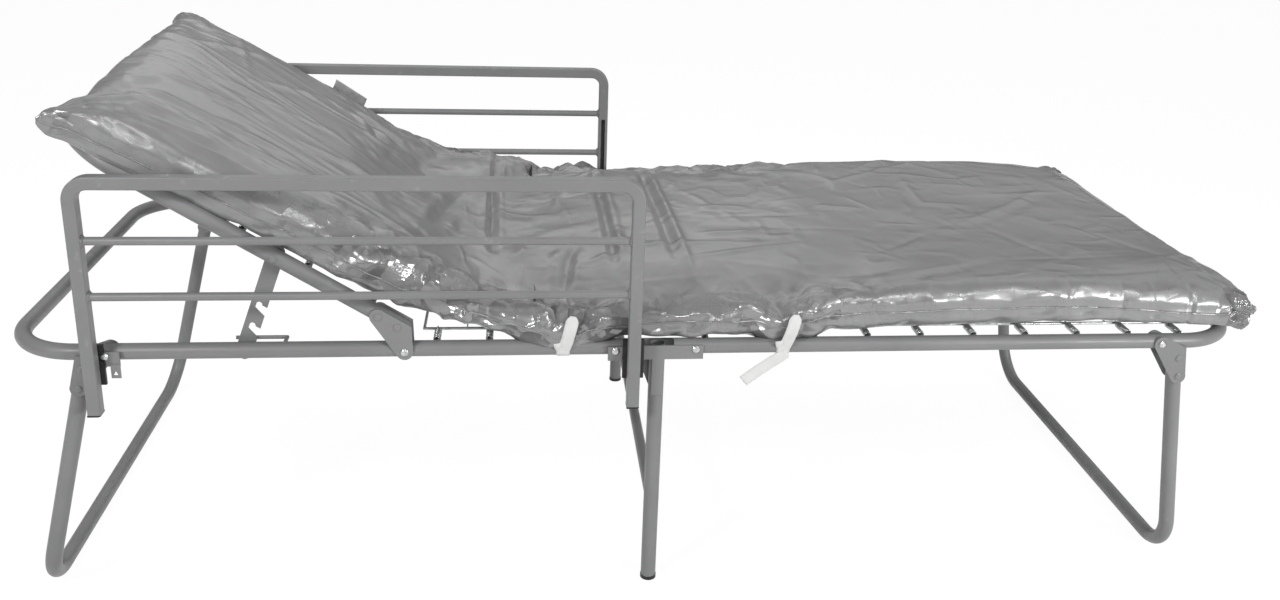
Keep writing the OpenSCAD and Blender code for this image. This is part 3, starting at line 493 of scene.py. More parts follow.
# The cover stands off the deck along its edges, most of all at the hips, and sags onto it between.
# Each line gives heights at distances from the head end.
near_lift = np.interp(
    grid_t, (0, 0.3, 0.4, 0.5, 0.57, 0.63, 0.69, 0.76, 1.2, 1.45, 1.73, 2.02),
    (0, 0.002, 0.006, 0.009, 0.013, 0.014, 0.008, 0.0, 0.0, 0.012, 0.022, 0.022))
far_lift = np.interp(
    grid_t, (0, 0.4, 0.46, 0.53, 0.6, 0.65, 0.73, 0.86, 0.95, 1.04, 1.17, 1.39, 1.62, 1.85, 2.02),
    (0, 0, 0.005, 0.012, 0.018, 0.024, 0.026, 0.011, 0.001, 0.0, 0.0, 0.008, 0.016, 0.02, 0.018))
soft_rows = np.exp(-((np.arange(-8, 9) / 4.0) ** 2))
soft_rows /= soft_rows.sum()
for lift in (near_lift, far_lift):
    lift[:] = np.convolve(np.pad(lift[:, 0], 8, "edge"), soft_rows, "valid")[:, None]
edge_lift = near_lift * fade(grid_y + 0.4, 0.15) + far_lift * fade(grid_y - 0.4, 0.2)
hip_lift = 0.012 * fade(from_hip, 0.12)

# Each strap pulls the seam down beside its rail, and the wall gathers over it in a fan of folds.
strap_head_x = -0.151
strap_foot_x = 0.206
fan_back = 0.03
strap_pull = np.zeros_like(grid_t)
strap_fan = np.zeros_like(grid_t)
for strap_x in (strap_head_x, strap_foot_x):
    from_strap = grid_t - level_from - strap_x
    fan_turn = np.arctan2(from_strap, from_side + fan_back)
    fan_out = np.hypot(from_strap, from_side + fan_back)
    strap_pull += 0.011 * np.exp(-(from_strap / 0.045) ** 2 - (from_side / 0.05) ** 2)
    strap_fan += 0.006 * abs(np.sin(5.5 * fan_turn + 5 * strap_x)) * fade(fan_out - 0.06, 0.035)

# Height of the two sheets over what they lie on, with pleats that run into the corners. The walls
# are round and slack on the backrest, and stand squarer on the foot half.
on_backrest = 1 - smooth_step(grid_t, 0.35, 1.0)
soft_wall = 0.03 + on_backrest * np.where(near_side, 0.02, 0.1)
thin = 1 - 0.2 * on_backrest * fade(grid_y - 0.33, 0.2)
pressed = smooth_step(grid_t, 0.7, 0.86) * (1 - smooth_step(grid_t, 1.1, 1.45))
thin = thin - (0.1 + 0.42 * pressed) * (1 - on_backrest) * fade(grid_y + 0.4, 0.11)
thin = thin - 0.14 * pressed * fade(grid_y - 0.4, 0.1)
near_power = 2.6 - 0.7 * smooth_step(grid_t, 1.2, 1.5)
side_up = round_off(from_side, soft_wall, np.where(near_side, near_power, 2.1))
side_down = round_off(from_side, foot_round, 2.2)
end_up = round_off(from_end, end_round)
crown = pad_crown * (1 - (grid_y / pad_half) ** 2)
pleat_phase = np.where(at_head, 0.6, 2.1)
pleats = (abs(np.sin(7.5 * corner_turn + pleat_phase)) - 0.6) * 0.014 * fade(corner_out - 0.045, 0.035)
puff = 0.002 * fade(corner_out - 0.13, 0.07) * at_head * near_side
puff = puff + 0.007 * fade(corner_out - 0.12, 0.08) * ~at_head * near_side
seat_high = edge_lift + hip_lift + corner_high - strap_pull
above_seam = (pad_thick - seam_high + crown + puff) * thin * side_up * end_up
top_h = seat_high + seam_high + above_seam + (pleats + strap_fan) * end_up
low_h = seam_high * (1 - side_down * round_off(from_end, foot_round)) - 0.6 * pleats * side_down
low_h = seat_high + np.maximum(low_h, 0.0)

# Both sheets share the seam, which is the rim of the grid.
top_id = np.arange(rows * cols).reshape(rows, cols)
low_id = top_id.copy()
low_id[1:-1, 1:-1] = rows * cols + np.arange((rows - 2) * (cols - 2)).reshape(rows - 2, cols - 2)


def both_sheets(top, low):
    """The values of the top sheet's points, and then of those inside the lower one."""
    inside = low[1:-1, 1:-1]
    return np.concatenate((top.reshape(rows * cols, -1), inside.reshape((rows - 2) * (cols - 2), -1)))


cover = both_sheets(lay_on(flat_t, flat_y, top_h), lay_on(flat_t, flat_y, low_h))
quads_top = np.stack((top_id[:-1, :-1], top_id[1:, :-1], top_id[1:, 1:], top_id[:-1, 1:]), -1).reshape(-1, 4)
quads_low = np.stack((low_id[:-1, :-1], low_id[:-1, 1:], low_id[1:, 1:], low_id[1:, :-1]), -1).reshape(-1, 4)
cover_faces = np.vstack((quads_top, quads_low))

# The cover wrinkles as it shrinks onto its pad, most where it is slack: on the walls, at the
# corners and over the hips. Elsewhere it is held closer to its place.
on_wall = fade(from_side, 0.05) + fade(from_end, 0.05)
slack_share = np.clip(on_wall + fade(corner_out, 0.12), 0, 1)
slack = both_sheets(
    (0.14 + 0.86 * slack_share + 0.3 * fade(from_hip, 0.09)).clip(0, 1), 0.1 + 0.9 * slack_share)[:, 0]
held = both_sheets(0.004 + 0.03 * (1 - slack_share), 0.01 + 0.4 * (1 - slack_share))[:, 0]
start_ripple = 0.0016
sim_frames = 14
most_move = 0.014


def ripple(points, scale, offset, squeeze=(1, 1, 1)):
    """A soft random height at every point, between about -1 and 1."""
    sized = points * np.array(squeeze) * scale + offset
    return np.array([noise.noise(Vector(p)) for p in sized])


def read(items, field, wide=1, kind=float):
    """One number, or a row of them, for each point or face of a mesh."""
    values = np.empty(len(items) * wide, kind)
    items.foreach_get(field, values)
    return values if wide == 1 else values.reshape(-1, wide)


def settle(points, faces):
    """Lets the slack cover wrinkle over its pad as cloth, and gives its points where they come to rest."""
    outward = ripple(points, 26, 3.1)
    started = points + start_ripple * slack[:, None] * np.stack(
        (0.5 * ripple(points, 26, 12.1), np.sign(points[:, 1]) * outward, outward), -1)
    cloth_piece = make_piece("cover_being_settled", started, faces, powder_coat)
    for name, share in (("slack", slack), ("held", held)):
        group = cloth_piece.vertex_groups.new(name=name)
        for k, weight in enumerate(share):
            group.add([k], float(weight), "REPLACE")
    cloth = cloth_piece.modifiers.new("settle", "CLOTH")
    for rule, value in {
            "quality": 4, "mass": 0.05, "tension_stiffness": 18, "compression_stiffness": 18,
            "shear_stiffness": 6, "bending_stiffness": 1.2, "vertex_group_mass": "held", "pin_stiffness": 1.0,
            "vertex_group_shrink": "slack", "shrink_min": -0.012, "shrink_max": -0.1,
            "use_pressure": True, "uniform_pressure_force": 0.6}.items():
        setattr(cloth.settings, rule, value)
    cloth.settings.effector_weights.gravity = 0
    cloth.collision_settings.use_collision = False
    cloth.point_cache.frame_start = 1
    cloth.point_cache.frame_end = sim_frames
    scene = bpy.context.scene
    for step in range(1, sim_frames + 1):
        scene.frame_set(step)
    settled = cloth_piece.evaluated_get(bpy.context.evaluated_depsgraph_get()).to_mesh()
    move = read(settled.vertices, "co", 3) - points
    scene.frame_set(1)
    bpy.data.objects.remove(cloth_piece)
    far = np.linalg.norm(move, axis=1)[:, None]
    return points + move * np.minimum(1, most_move / np.maximum(far, 1e-9))


cover = settle(cover, cover_faces)


def carry(mesh, name, values):
    """Lets each point of a mesh carry a number, or a place, under a name."""
    kind, field = ("FLOAT", "value") if values.ndim == 1 else ("FLOAT_VECTOR", "vector")
    mesh.attributes.new(name, kind, "POINT").data.foreach_set(field, values.astype(np.float32).ravel())


def subdivide(points, faces):
    """One smooth subdivision of the cover, which keeps each point's length, width and sheet."""
    mesh = bpy.data.meshes.new("cover")
    mesh.from_pydata([tuple(p) for p in points], [], [tuple(int(v) for v in f) for f in faces])
    kept = {"at_t": flat_t, "at_y": flat_y, "edge_t": from_end, "edge_y": from_side}
    for name, share in kept.items():
        carry(mesh, name, both_sheets(share, share)[:, 0])
    sheet_of = np.repeat((0, 1), (len(quads_top), len(quads_low)))
    row_of = np.tile(np.repeat(np.arange(rows - 1), cols - 1), 2)
    part_of = sum((row_t[row_of] >= cut - 1e-6).astype(int) for cut in (cut_1, cut_2))
    mesh.polygons.foreach_set("material_index", (part_of * 2 + sheet_of).astype(np.int32))
    carrier = bpy.data.objects.new("cover", mesh)
    bpy.context.collection.objects.link(carrier)
    carrier.modifiers.new("smooth", "SUBSURF").levels = 1
    fine = carrier.evaluated_get(bpy.context.evaluated_depsgraph_get()).to_mesh()
    found = (
        read(fine.vertices, "co", 3), read(fine.polygons, "vertices", 4, np.int32),
        read(fine.polygons, "material_index", 1, np.int32),
        [read(fine.attributes[name].data, "value", 1, np.float32).astype(float) for name in kept])
    bpy.data.objects.remove(carrier)
    return found


def point_normals(points, faces):
    """Each point's normal, as the mean of its faces'."""
    corners = points[faces]
    face_way = np.cross(corners[:, 2] - corners[:, 0], corners[:, 3] - corners[:, 1])
    total = np.zeros_like(points)
    for k in range(4):
        np.add.at(total, faces[:, k], face_way)
    return total / np.maximum(np.linalg.norm(total, axis=1)[:, None], 1e-12)


cover, cover_faces, marks, (at_t, at_y, edge_t, edge_y) = subdivide(cover, cover_faces)
cover_way = point_normals(cover, cover_faces)
on_top, on_low = np.zeros((2, len(cover)), bool)
on_top[cover_faces[marks % 2 == 0].ravel()] = True
on_low[cover_faces[marks % 2 == 1].ravel()] = True
seam_point = on_low & on_top
top_share = (on_top & ~seam_point).astype(float)

# Long folds of the top, each from place to place as (length, width) in metres, with its height and
# half width: first those of the backrest, up from its pivot, and then those of the level part, from
# the centre hinge. A fold is a ridge with a shallow valley on one side, or a groove.
back_folds = (
    ((0.582, -0.355), (0.46, -0.335), (0.347, -0.312), 0.0042, 0.008),
    ((0.573, -0.27), (0.42, -0.238), (0.273, -0.204), 0.0048, 0.01),
    ((0.541, -0.168), (0.45, -0.14), (0.356, -0.108), 0.0042, 0.009),
    ((0.568, 0.061), (0.5, 0.17), (0.413, 0.291), 0.0038, 0.011),
    ((0.583, -0.39), (0.479, -0.366), (0.414, -0.377), 0.0045, 0.008),
    ((0.447, -0.261), (0.349, -0.305), 0.0042, 0.008),
    ((0.562, 0.238), (0.49, 0.29), (0.42, 0.323), 0.0034, 0.01),
    ((0.424, 0.054), (0.36, 0.14), (0.293, 0.218), 0.0034, 0.012),
    ((0.261, 0.25), (0.19, 0.21), (0.117, 0.168), -0.005, 0.012),
    ((0.228, 0.245), (0.183, 0.143), (0.125, 0.176), -0.0042, 0.01),
    ((0.041, -0.171), (0.0, 0.03), (-0.053, 0.213), -0.004, 0.014),
    ((0.5, -0.05), (0.38, -0.02), (0.25, 0.01), 0.0026, 0.012),
    ((0.33, -0.14), (0.22, -0.1), (0.1, -0.09), 0.003, 0.012))
level_folds = (
    ((-0.29, 0.38), (-0.281, 0.12), (-0.274, -0.209), -0.0058, 0.009),
    ((-0.069, 0.343), (-0.06, 0.0), (-0.057, -0.321), -0.0045, 0.008),
    ((-0.043, 0.344), (-0.05, 0.0), (-0.04, -0.321), 0.004, 0.008),
    ((0.049, 0.369), (0.06, 0.03), (0.068, -0.301), (0.104, -0.379), 0.0048, 0.008),
    ((0.031, 0.35), (0.04, 0.05), (0.046, -0.28), -0.0035, 0.008),
    ((-0.161, 0.19), (-0.118, -0.072), 0.0038, 0.01),
    ((-0.13, -0.151), (-0.156, -0.354), -0.0055, 0.01),
    ((-0.21, -0.1), (-0.225, -0.34), 0.0045, 0.011),
    ((0.117, 0.045), (0.232, 0.039), 0.003, 0.011),
    ((0.095, -0.11), (0.237, -0.094), 0.003, 0.011),
    ((0.581, 0.258), (0.574, 0.067), (0.702, 0.055), 0.0026, 0.011),
    ((0.471, 0.271), (0.698, 0.467), 0.002, 0.011),
    ((0.583, -0.077), (0.74, 0.05), (0.886, 0.183), 0.0026, 0.012),
    ((0.919, 0.227), (0.954, 0.17), 0.0024, 0.01),
    ((0.343, 0.052), (0.451, 0.035), 0.0028, 0.011))
folds = [([(back_start[0] - s, y) for s, y in line], high, wide) for *line, high, wide in back_folds]
folds += [([(level_from + x, y) for x, y in line], high, wide) for *line, high, wide in level_folds]


def run_along(line):
    """How far along a line each of its points lies."""
    return np.concatenate(((0,), np.cumsum(np.linalg.norm(np.diff(line, axis=0), axis=1))))


def near_line(line):
    """How far each point lies from a line of places, to which side, and how far along it."""
    line = np.array(line)
    steps = np.linalg.norm(np.diff(line, axis=0), axis=1)
    run = run_along(line)
    best = np.full(len(at_t), 9.0)
    side, share = np.zeros((2, len(at_t)))
    for k in range(len(steps)):
        way = (line[k + 1] - line[k]) / steps[k]
        dt, dy = at_t - line[k, 0], at_y - line[k, 1]
        lies = np.clip(dt * way[0] + dy * way[1], 0, steps[k])
        gap = np.hypot(dt - lies * way[0], dy - lies * way[1])
        nearer = gap < best
        best[nearer] = gap[nearer]
        side[nearer] = np.sign(dt * way[1] - dy * way[0])[nearer]
        share[nearer] = ((run[k] + lies) / run[-1])[nearer]
    return best, side, share


raised = np.zeros(len(cover))
for line, high, wide in folds:
    gap, side, share = near_line(line)
    offset = gap * side
    ends = smooth_step(share, 0, 0.25) * (1 - smooth_step(share, 0.7, 1))
    depth = 1.6 - 0.7 * (line[0][0] < back_run)
    if high > 0:
        depth = 0.75 * depth
        shape = fade(abs(offset), 0.8 * wide, 1.1) - 0.25 * fade(offset - 2 * wide, wide)
    else:
        shape = fade(abs(offset), wide, 1.3) - 0.45 * fade(abs(offset) - 2.1 * wide, wide)
    raised += depth * high * shape * ends * fade(np.maximum(gap - 3 * wide, 0), wide) * top_share

# Slack lies over the backrest in folds along its length, and crosswise where the cover bends. The
# walls, the corners and the places over the straps are crushed into sharp small folds.
wall_share = fade(edge_y, 0.06) + fade(edge_t, 0.045)
crushed = np.clip(wall_share + fade(edge_t + edge_y, 0.12), 0, 1)
tip_share = fade(edge_t + edge_y, 0.06)
on_back = 1 - smooth_step(at_t, back_run - 0.1, back_run + 0.15)
hip_share = fade(at_t - back_run - 0.3 * hip_run, 0.19)
strap_share = sum(
    np.exp(-((at_t - level_from - x) / 0.13) ** 2 - (edge_y / 0.09) ** 2)
    for x in (strap_head_x, strap_foot_x))
hot = np.clip(0.1 + hip_share + strap_share + tip_share * np.where(at_t < 1, 0.8, 1.3), 0, 1.3)


def ridges(points, scale, offset, squeeze=(1, 1, 1)):
    """Sharp ridges with soft valleys between them at random places, up to 1 high."""
    return 1 - 2.6 * abs(ripple(points, scale, offset, squeeze))


flat_place = np.stack((at_t, at_y, 0 * at_t), -1)
lengthwise = ridges(flat_place + np.array((0, 0.12, 0)) * at_t[:, None], 1, 5.3, (2.6, 17, 1))
crosswise = ridges(flat_place, 1, 8.9, (26, 5, 1))
slanting = ridges(flat_place + np.array((0.6, 0, 0)) * at_y[:, None], 1, 2.2, (9, 4, 1))
sharp = ridges(cover, 24, 3.1, (1, 1, 1.7))
fine = ridges(cover, 52, 7.7, (1, 1, 1.4))
broad = ripple(cover, 7, 11.3)


def creases(count, share, spread, wide, high, lie, seed):
    """Straight sharp creases at random places, more where the share is higher, each fading out."""
    chance = np.random.default_rng(seed)
    total = np.zeros(len(cover))
    for middle in cover[chance.choice(len(cover), count, p=share / share.sum())]:
        normal = chance.normal(size=3) * lie
        normal /= np.linalg.norm(normal)
        height = high * chance.uniform(-0.7, 1)
        away = cover - middle
        near = (away ** 2).sum(axis=1)
        here = near < (2.2 * spread) ** 2
        peak = np.maximum(1 - abs(away[here] @ normal) / wide, 0)
        total[here] += height * peak * np.exp(-near[here] / spread ** 2)
    return total


raised += crushed * hot * (0.0014 * sharp + 0.0005 * fine)
crushed_here = crushed * hot ** 2 * (1 - 0.6 * on_low)
top_left = (1 - 0.8 * crushed) * top_share
high_up = 0.3 + smooth_step(0.5 - at_t, 0, 0.4)
for only_on, count, share, spread, wide, high, lie, seed in (
        (1, 300, crushed_here, 0.042, 0.015, 0.0074, (1, 1, 1), 11),
        (1, 240, crushed_here, 0.02, 0.0075, 0.003, (1, 1, 1), 12),
        (top_share, 70, top_left * (1.05 - on_back), 0.1, 0.012, 0.0024, (1, 1, 0), 13),
        (top_share, 50, top_left * on_back * high_up, 0.13, 0.01, 0.0015, (0.22, 1, 0), 15),
        (top_share, 160, top_left, 0.04, 0.01, 0.0012, (1, 1, 0), 14)):
    raised += only_on * creases(count, share, spread, wide, high, lie, seed)
raised += top_left * on_back * 0.0005 * lengthwise
raised += top_left * (1 - on_back) * 0.0007 * slanting
raised += top_share * fade(edge_y, 0.1) * np.clip(hip_share + strap_share, 0, 1) * 0.0026 * crosswise
raised += top_left * ((0.0022 - 0.0014 * on_back) * broad + 0.0003 * (1 - on_back) * sharp)

# Two creases run along the near wall of the backrest, and short tucks cross the foot half's wall
# and gather its near corner.
near_wall = fade(edge_y, 0.035) * (at_y < 0)
along_wall = top_share * (at_y < 0) * (1 - smooth_step(at_t, 0.3, 0.45)) * smooth_step(at_t, 0.03, 0.08)
for from_rim, high in ((0.02, 0.0022), (0.046, 0.0018)):
    raised += along_wall * high * np.maximum(1 - abs(edge_y - from_rim) / 0.006, 0)
for from_foot, high, wide in (
        (0.066, -0.009, 0.008), (0.044, 0.006, 0.007), (0.026, -0.007, 0.006), (0.01, 0.004, 0.005),
        (0.132, -0.003, 0.005), (0.25, -0.002, 0.005), (0.2, 0.0015, 0.005), (0.34, -0.0018, 0.005)):
    tuck = at_t - (pad_len - from_foot) + 0.3 * (edge_y - 0.02) * (from_foot < 0.1)
    raised += near_wall * high * np.maximum(1 - abs(tuck) / wide, 0)
raised[on_low & (edge_y > 0.05) & (edge_t > 0.05)] *= 0.2
seam_gap = np.minimum(edge_y, edge_t)
raised -= 0.0018 * fade(seam_gap, 0.0006) + 0.0026 * fade(seam_gap - 0.0012, 0.0012)
crushed = np.clip(crushed * hot + 0.1, 0, 1)
cover = cover + raised[:, None] * cover_way
cover_way = point_normals(cover, cover_faces)

# The cover's cloth is coated on the outside: a satin coat that shows a fine pebble and tiny
# creases, and shines more where the walls are crushed. Along the seam the colour is painted
# nearly black: painted shade for the shadow in the seam's stitched groove.
vinyl = start_finish("coated_grey_cloth", 0.36, 0.35)
crush = vinyl.carried("crushed")
vinyl_tone = vinyl.two_tones(
    vinyl.ramp(vinyl.grain(5, 4), 0.3, 0.7, 0, 1), (0.265, 0.266, 0.269), (0.31, 0.311, 0.315))
# Painted shade: the colour goes nearly black along the seam, standing in for the shadow in its stitched
# groove.
vinyl.two_tones(vinyl.ramp(vinyl.carried("seam"), 0.66, 0.8, 0, 1), vinyl_tone, (0.03, 0.03, 0.032))
vinyl_rough = vinyl.combine(
    "SUBTRACT", vinyl.ramp(vinyl.grain(18, 5), 0.3, 0.7, 0.3, 0.4), vinyl.combine("MULTIPLY", crush, 0.14))
vinyl.join(vinyl_rough, vinyl.shader.inputs["Roughness"])
vinyl.shader.inputs["Specular IOR Level"].default_value = 0.5
vinyl.shader.inputs["Coat Weight"].default_value = 0.3
vinyl.shader.inputs["Coat Roughness"].default_value = 0.12


def vector_work(kind, *parts):
    """Two or three places worked into one."""
    return vinyl.add("VectorMath", dict(enumerate(parts)), operation=kind).outputs["Vector"]


def facets(per_metre, slope):
    """Flat tilted patches with straight creases between them, as in a crushed sheet."""
    place = vinyl.places["Object"]
    bend = vinyl.add("TexNoise", {"Vector": place, "Scale": per_metre * 0.4}).outputs["Color"]
    moved = vector_work("MULTIPLY_ADD", bend, (0.5 / per_metre,) * 3, place)
    cells = vinyl.add("TexVoronoi", {"Vector": moved, "Scale": per_metre}).outputs
    in_cell = vector_work("SUBTRACT", moved, cells["Position"])
    tilt = vector_work("SUBTRACT", cells["Color"], (0.5, 0.5, 0.5))
    high = vinyl.add("VectorMath", {0: in_cell, 1: tilt}, operation="DOT_PRODUCT").outputs["Value"]
    return vinyl.combine("MULTIPLY", high, slope)


def thin_folds(stretch, turned, offset, high):
    """Long thin ridges over the spread-out cover, which fade in and out."""
    laid = vinyl.add("Mapping", {
        "Vector": spread_out, "Location": (offset, offset, 0), "Rotation": (0, 0, turned), "Scale": stretch})
    level = vinyl.grain(1, 1.5, where=laid.outputs["Vector"])
    off_line = vinyl.combine("ABSOLUTE", vinyl.combine("SUBTRACT", level, 0.5))
    line = vinyl.ramp(off_line, 0, 0.07, 1, 0)
    shown = vinyl.ramp(vinyl.grain(6 + offset, 1, where=spread_out), 0.45, 0.6, 0, 1)
    return vinyl.combine("MULTIPLY", vinyl.combine("MULTIPLY", line, shown), high)


spread_out = vinyl.carried("flat_place", "Vector")
length_at = vinyl.add("SeparateXYZ", {"Vector": spread_out}).outputs["X"]
on_back_part = vinyl.ramp(length_at, back_run - 0.12, back_run + 0.1, 1, 0)
on_level_part = vinyl.combine("SUBTRACT", 1, on_back_part)
thin_on_back = vinyl.combine(
    "ADD", thin_folds((2.6, 13, 1), 0.14, 0.3, 0.0011), thin_folds((4, 24, 1), 0.24, 1.7, 0.0005))
thin_on_level = vinyl.combine(
    "ADD", thin_folds((5, 9, 1), -0.5, 0.9, 0.0017), thin_folds((11, 6, 1), 0.3, 2.4, 0.0012))
top_creases = vinyl.combine(
    "ADD", vinyl.combine("MULTIPLY", thin_on_back, on_back_part),
    vinyl.combine("MULTIPLY", thin_on_level, on_level_part))
patches = vinyl.combine("ADD", facets(22, 1.2), facets(50, 0.5))
wall_creases = vinyl.combine("MULTIPLY", patches, vinyl.ramp(crush, 0.1, 1, 0.0, 0.9))
vinyl_creases = vinyl.relief(vinyl.combine("ADD", wall_creases, top_creases), 1.0, 1.0)
vinyl_soft = vinyl.relief(vinyl.grain(34, 3, (1, 0.5, 1)), 0.1, 0.004, vinyl_creases)
vinyl.relief(vinyl.grain(1100, 1), 0.08, 0.0003, vinyl_soft)

# The cover is one piece on the real cot. Here it is cut at two places where both sides move alike,
# because one part can only bend between two bodies.
row_1, row_2 = (int(np.argmin(abs(row_t - cut))) for cut in (cut_1, cut_2))
near_rim, far_rim = top_id[:, 0], top_id[:, -1]
welt_r = 0.0016
welt_sides = 8


def even_steps(line, gap, more=0):
    """The same line with its points at even steps of about a gap."""
    run = run_along(line)
    even = np.linspace(0, run[-1], max(int(run[-1] / gap), 4) + more)
    return np.stack([np.interp(even, run, line[:, k]) for k in range(3)], axis=1)


def welt(point_ids):
    """The seam's cord along a row of the rim's points, which it joins with an even curve."""
    line = even_steps(cover[point_ids], 0.0045, 2)
    line[1:-1] = 0.25 * line[:-2] + 0.5 * line[1:-1] + 0.25 * line[2:]
    return sweep(line, welt_r, welt_sides)


def cover_part(name, number, rim):
    """One part of the cover as a closed piece with its welt, shaded as if it weren't cut."""
    faces = cover_faces[marks // 2 == number]
    used, local = np.unique(faces, return_inverse=True)
    local = local.reshape(faces.shape)
    points, ways = [cover[used]], [cover_way[used]]
    carries = [np.column_stack((crushed, seam_point, flat_place))[used]]
    all_faces = [tuple(int(v) for v in f) for f in local]
    sides = np.stack((local, np.roll(local, -1, axis=1)), -1).reshape(-1, 2)
    seen = {(int(a), int(b)) for a, b in sides}
    open_sides = [(a, b) for a, b in seen if (b, a) not in seen]
    start = len(used)
    for cut in (cut_1, cut_2):
        here = sorted((a, b) for a, b in open_sides if abs(at_t[used[a]] - cut) < 0.02)
        if here:
            ring = cover[used[[a for a, b in here]]]
            points.append(ring.mean(axis=0)[None])
            ways.append(np.array(((1.0 if cut > at_t[used].mean() else -1.0, 0, 0),)))
            carries.append(np.zeros((1, 5)))
            all_faces += [(b, a, start) for a, b in here]
            start += 1
    for point_ids in rim:
        welt_points, welt_faces = welt(point_ids)
        rings = welt_points.reshape(-1, welt_sides, 3)
        out = (rings - rings.mean(axis=1, keepdims=True)).reshape(-1, 3)
        points.append(welt_points)
        ways.append(out / np.linalg.norm(out, axis=1)[:, None])
        carries.append(np.column_stack((np.tile((0.5, 0.0), (len(out), 1)), welt_points)))
        all_faces += [tuple(int(v) + start for v in f) for f in welt_faces]
        start += len(welt_points)
    piece = make_piece(name, np.vstack(points), all_faces, vinyl)
    piece.data.normals_split_custom_set_from_vertices([tuple(w) for w in np.vstack(ways)])
    carries = np.vstack(carries)
    carry(piece.data, "crushed", carries[:, 0])
    # The seam's points carry the mask for the painted shade along the seam.
    carry(piece.data, "seam", carries[:, 1])
    carry(piece.data, "flat_place", carries[:, 2:])
    return piece


head_rim = [np.concatenate((near_rim[row_1::-1], top_id[0, 1:-1], far_rim[:row_1 + 1]))]
seat_rim = [near_rim[row_1:row_2 + 1], far_rim[row_1:row_2 + 1]]
foot_rim = [np.concatenate((far_rim[row_2:], top_id[-1, -2:0:-1], near_rim[:row_2 - 1:-1]))]
for number, (name, rim, bodies, start, end, nodes) in enumerate((
        ("mattress_on_backrest", head_rim, ("backrest", "head_half"),
         (-0.42, 0, 0.47), (-0.267, 0, 0.48), ("mattress_back", "mattress_hip")),
        ("mattress_on_seat", seat_rim, ("head_half", "centre"),
         (-0.129, 0, 0.48), (-0.02, 0, 0.48), ("mattress_seat", "mattress_fold")),
        ("mattress_on_foot", foot_rim, ("centre", "foot_half"),
         (0.008, 0, 0.48), (0.117, 0, 0.48), ("mattress_foot",)))):
    mattress_part = cover_part(name, number, rim)
    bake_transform(mattress_part)
    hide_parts(*nodes)


# Straps. White knitted elastic is sewn to the seam on both sides and loops round the rail below,
# to hold the mattress down. On the foot half a loose end hangs on under the rail.
webbing = start_finish("white_elastic", 0.75)
strap_thick = 0.0013
strap_clear = 0.00035
ribbon_edge = (
    (-0.5, 0), (-0.47, 0.5), (-0.2, 0.5), (0.2, 0.5), (0.47, 0.5),
    (0.5, 0), (0.47, -0.5), (0.2, -0.5), (-0.2, -0.5), (-0.47, -0.5))


def ribs(name, pitch, least):
    """Even ribs along what the webbing's points carry under a name, between least and 1 high."""
    turn = webbing.combine("MULTIPLY", webbing.carried(name), 2 * math.pi / pitch)
    return webbing.ramp(webbing.combine("SINE", turn), -1, 1, least, 1)


knit = webbing.combine("MULTIPLY", ribs("along", 0.0013, 0.45), ribs("across", 0.0011, 0.55))
webbing.two_tones(
    webbing.combine("MULTIPLY", knit, webbing.ramp(webbing.grain(60, 3), 0.3, 0.7, 0.8, 1)),
    (0.56, 0.56, 0.55), (0.86, 0.86, 0.85))
webbing.shader.inputs["Sheen Weight"].default_value = 0.25
webbing.relief(knit, 0.5, 0.0004)


def ribbon(line, widths, across):
    """A flat strap along a line, of one or many widths and ways across, with its points' places on it."""
    widths = np.broadcast_to(widths, len(line))
    across = np.broadcast_to(across, line.shape)
    across = across / np.linalg.norm(across, axis=1)[:, None]
    out = np.cross(np.gradient(line, axis=0), across)
    out /= np.linalg.norm(out, axis=1)[:, None]
    run = run_along(line)
    points, along, aside = [], [], []
    for i, wide in enumerate(widths):
        for a, b in ribbon_edge:
            points.append(line[i] + a * wide * across[i] + b * strap_thick * out[i])
            along.append(run[i])
            aside.append(a * wide)
    return np.array(points), ring_faces(len(line), len(ribbon_edge)), along, aside


def soft_curve(points):
    """A soft curve through a few points, at even steps."""
    points = np.asarray(points, float)
    ends = np.vstack((2 * points[0] - points[1], points, 2 * points[-1] - points[-2]))
    dense = []
    for k in range(len(points) - 1):
        a, b, c, d = ends[k:k + 4]
        for u in np.linspace(0, 1, 16, endpoint=False):
            dense.append(0.5 * (2 * b + (c - a) * u + (2 * a - 5 * b + 4 * c - d) * u ** 2
                                + (3 * b - a - 3 * c + d) * u ** 3))
    return even_steps(np.array(dense + [points[-1]]), 0.003)


def beside_rail(line, x, side):
    """A line given as along, outwards and up from a place on a side rail's centre line, put there."""
    return line * np.array((1, -side, 1)) + np.array((x, side * side_y, rail_z))


def strap_loop(x, side):
    """The strap's front band, round under the rail and up inside, and the narrower band behind it."""
    r = tube_r + strap_clear + strap_thick / 2
    turns = np.linspace(0, math.pi, 13)
    under = [(-(r + 0.0002) * math.cos(turn), -r * math.sin(turn)) for turn in turns]
    front = [
        (0.0115, -0.0238, 0.0625), (0.0095, -0.0262, 0.0525),
        (0.006, -0.0255, 0.036), (0.002, -0.0195, 0.017)]
    front = soft_curve(front + [(-0.003, y, z) for y, z in under] + [(-0.003, r, 0.009)])
    front_wide = 0.0205 * np.sqrt(np.clip((np.arange(len(front)) + 0.6) / 3.2, 0, 1))
    back = [(-0.0125, -0.0195, 0.0145), (-0.0115, -0.0172, 0.007)]
    back = soft_curve(back + [(-0.009, y * 0.93, z * 0.93) for y, z in under[:8]])
    back_wide = np.linspace(0.013, 0.008, len(back))
    parts = []
    for line, wide in ((front, front_wide), (back, back_wide)):
        lean_x = np.gradient(line[:, 0]) / np.maximum(np.linalg.norm(np.gradient(line, axis=0), axis=1), 1e-9)
        across = np.stack((np.ones(len(line)), 0 * lean_x, lean_x * 0.9), -1)
        parts.append(ribbon(beside_rail(line, x, side), wide, across))
    return parts


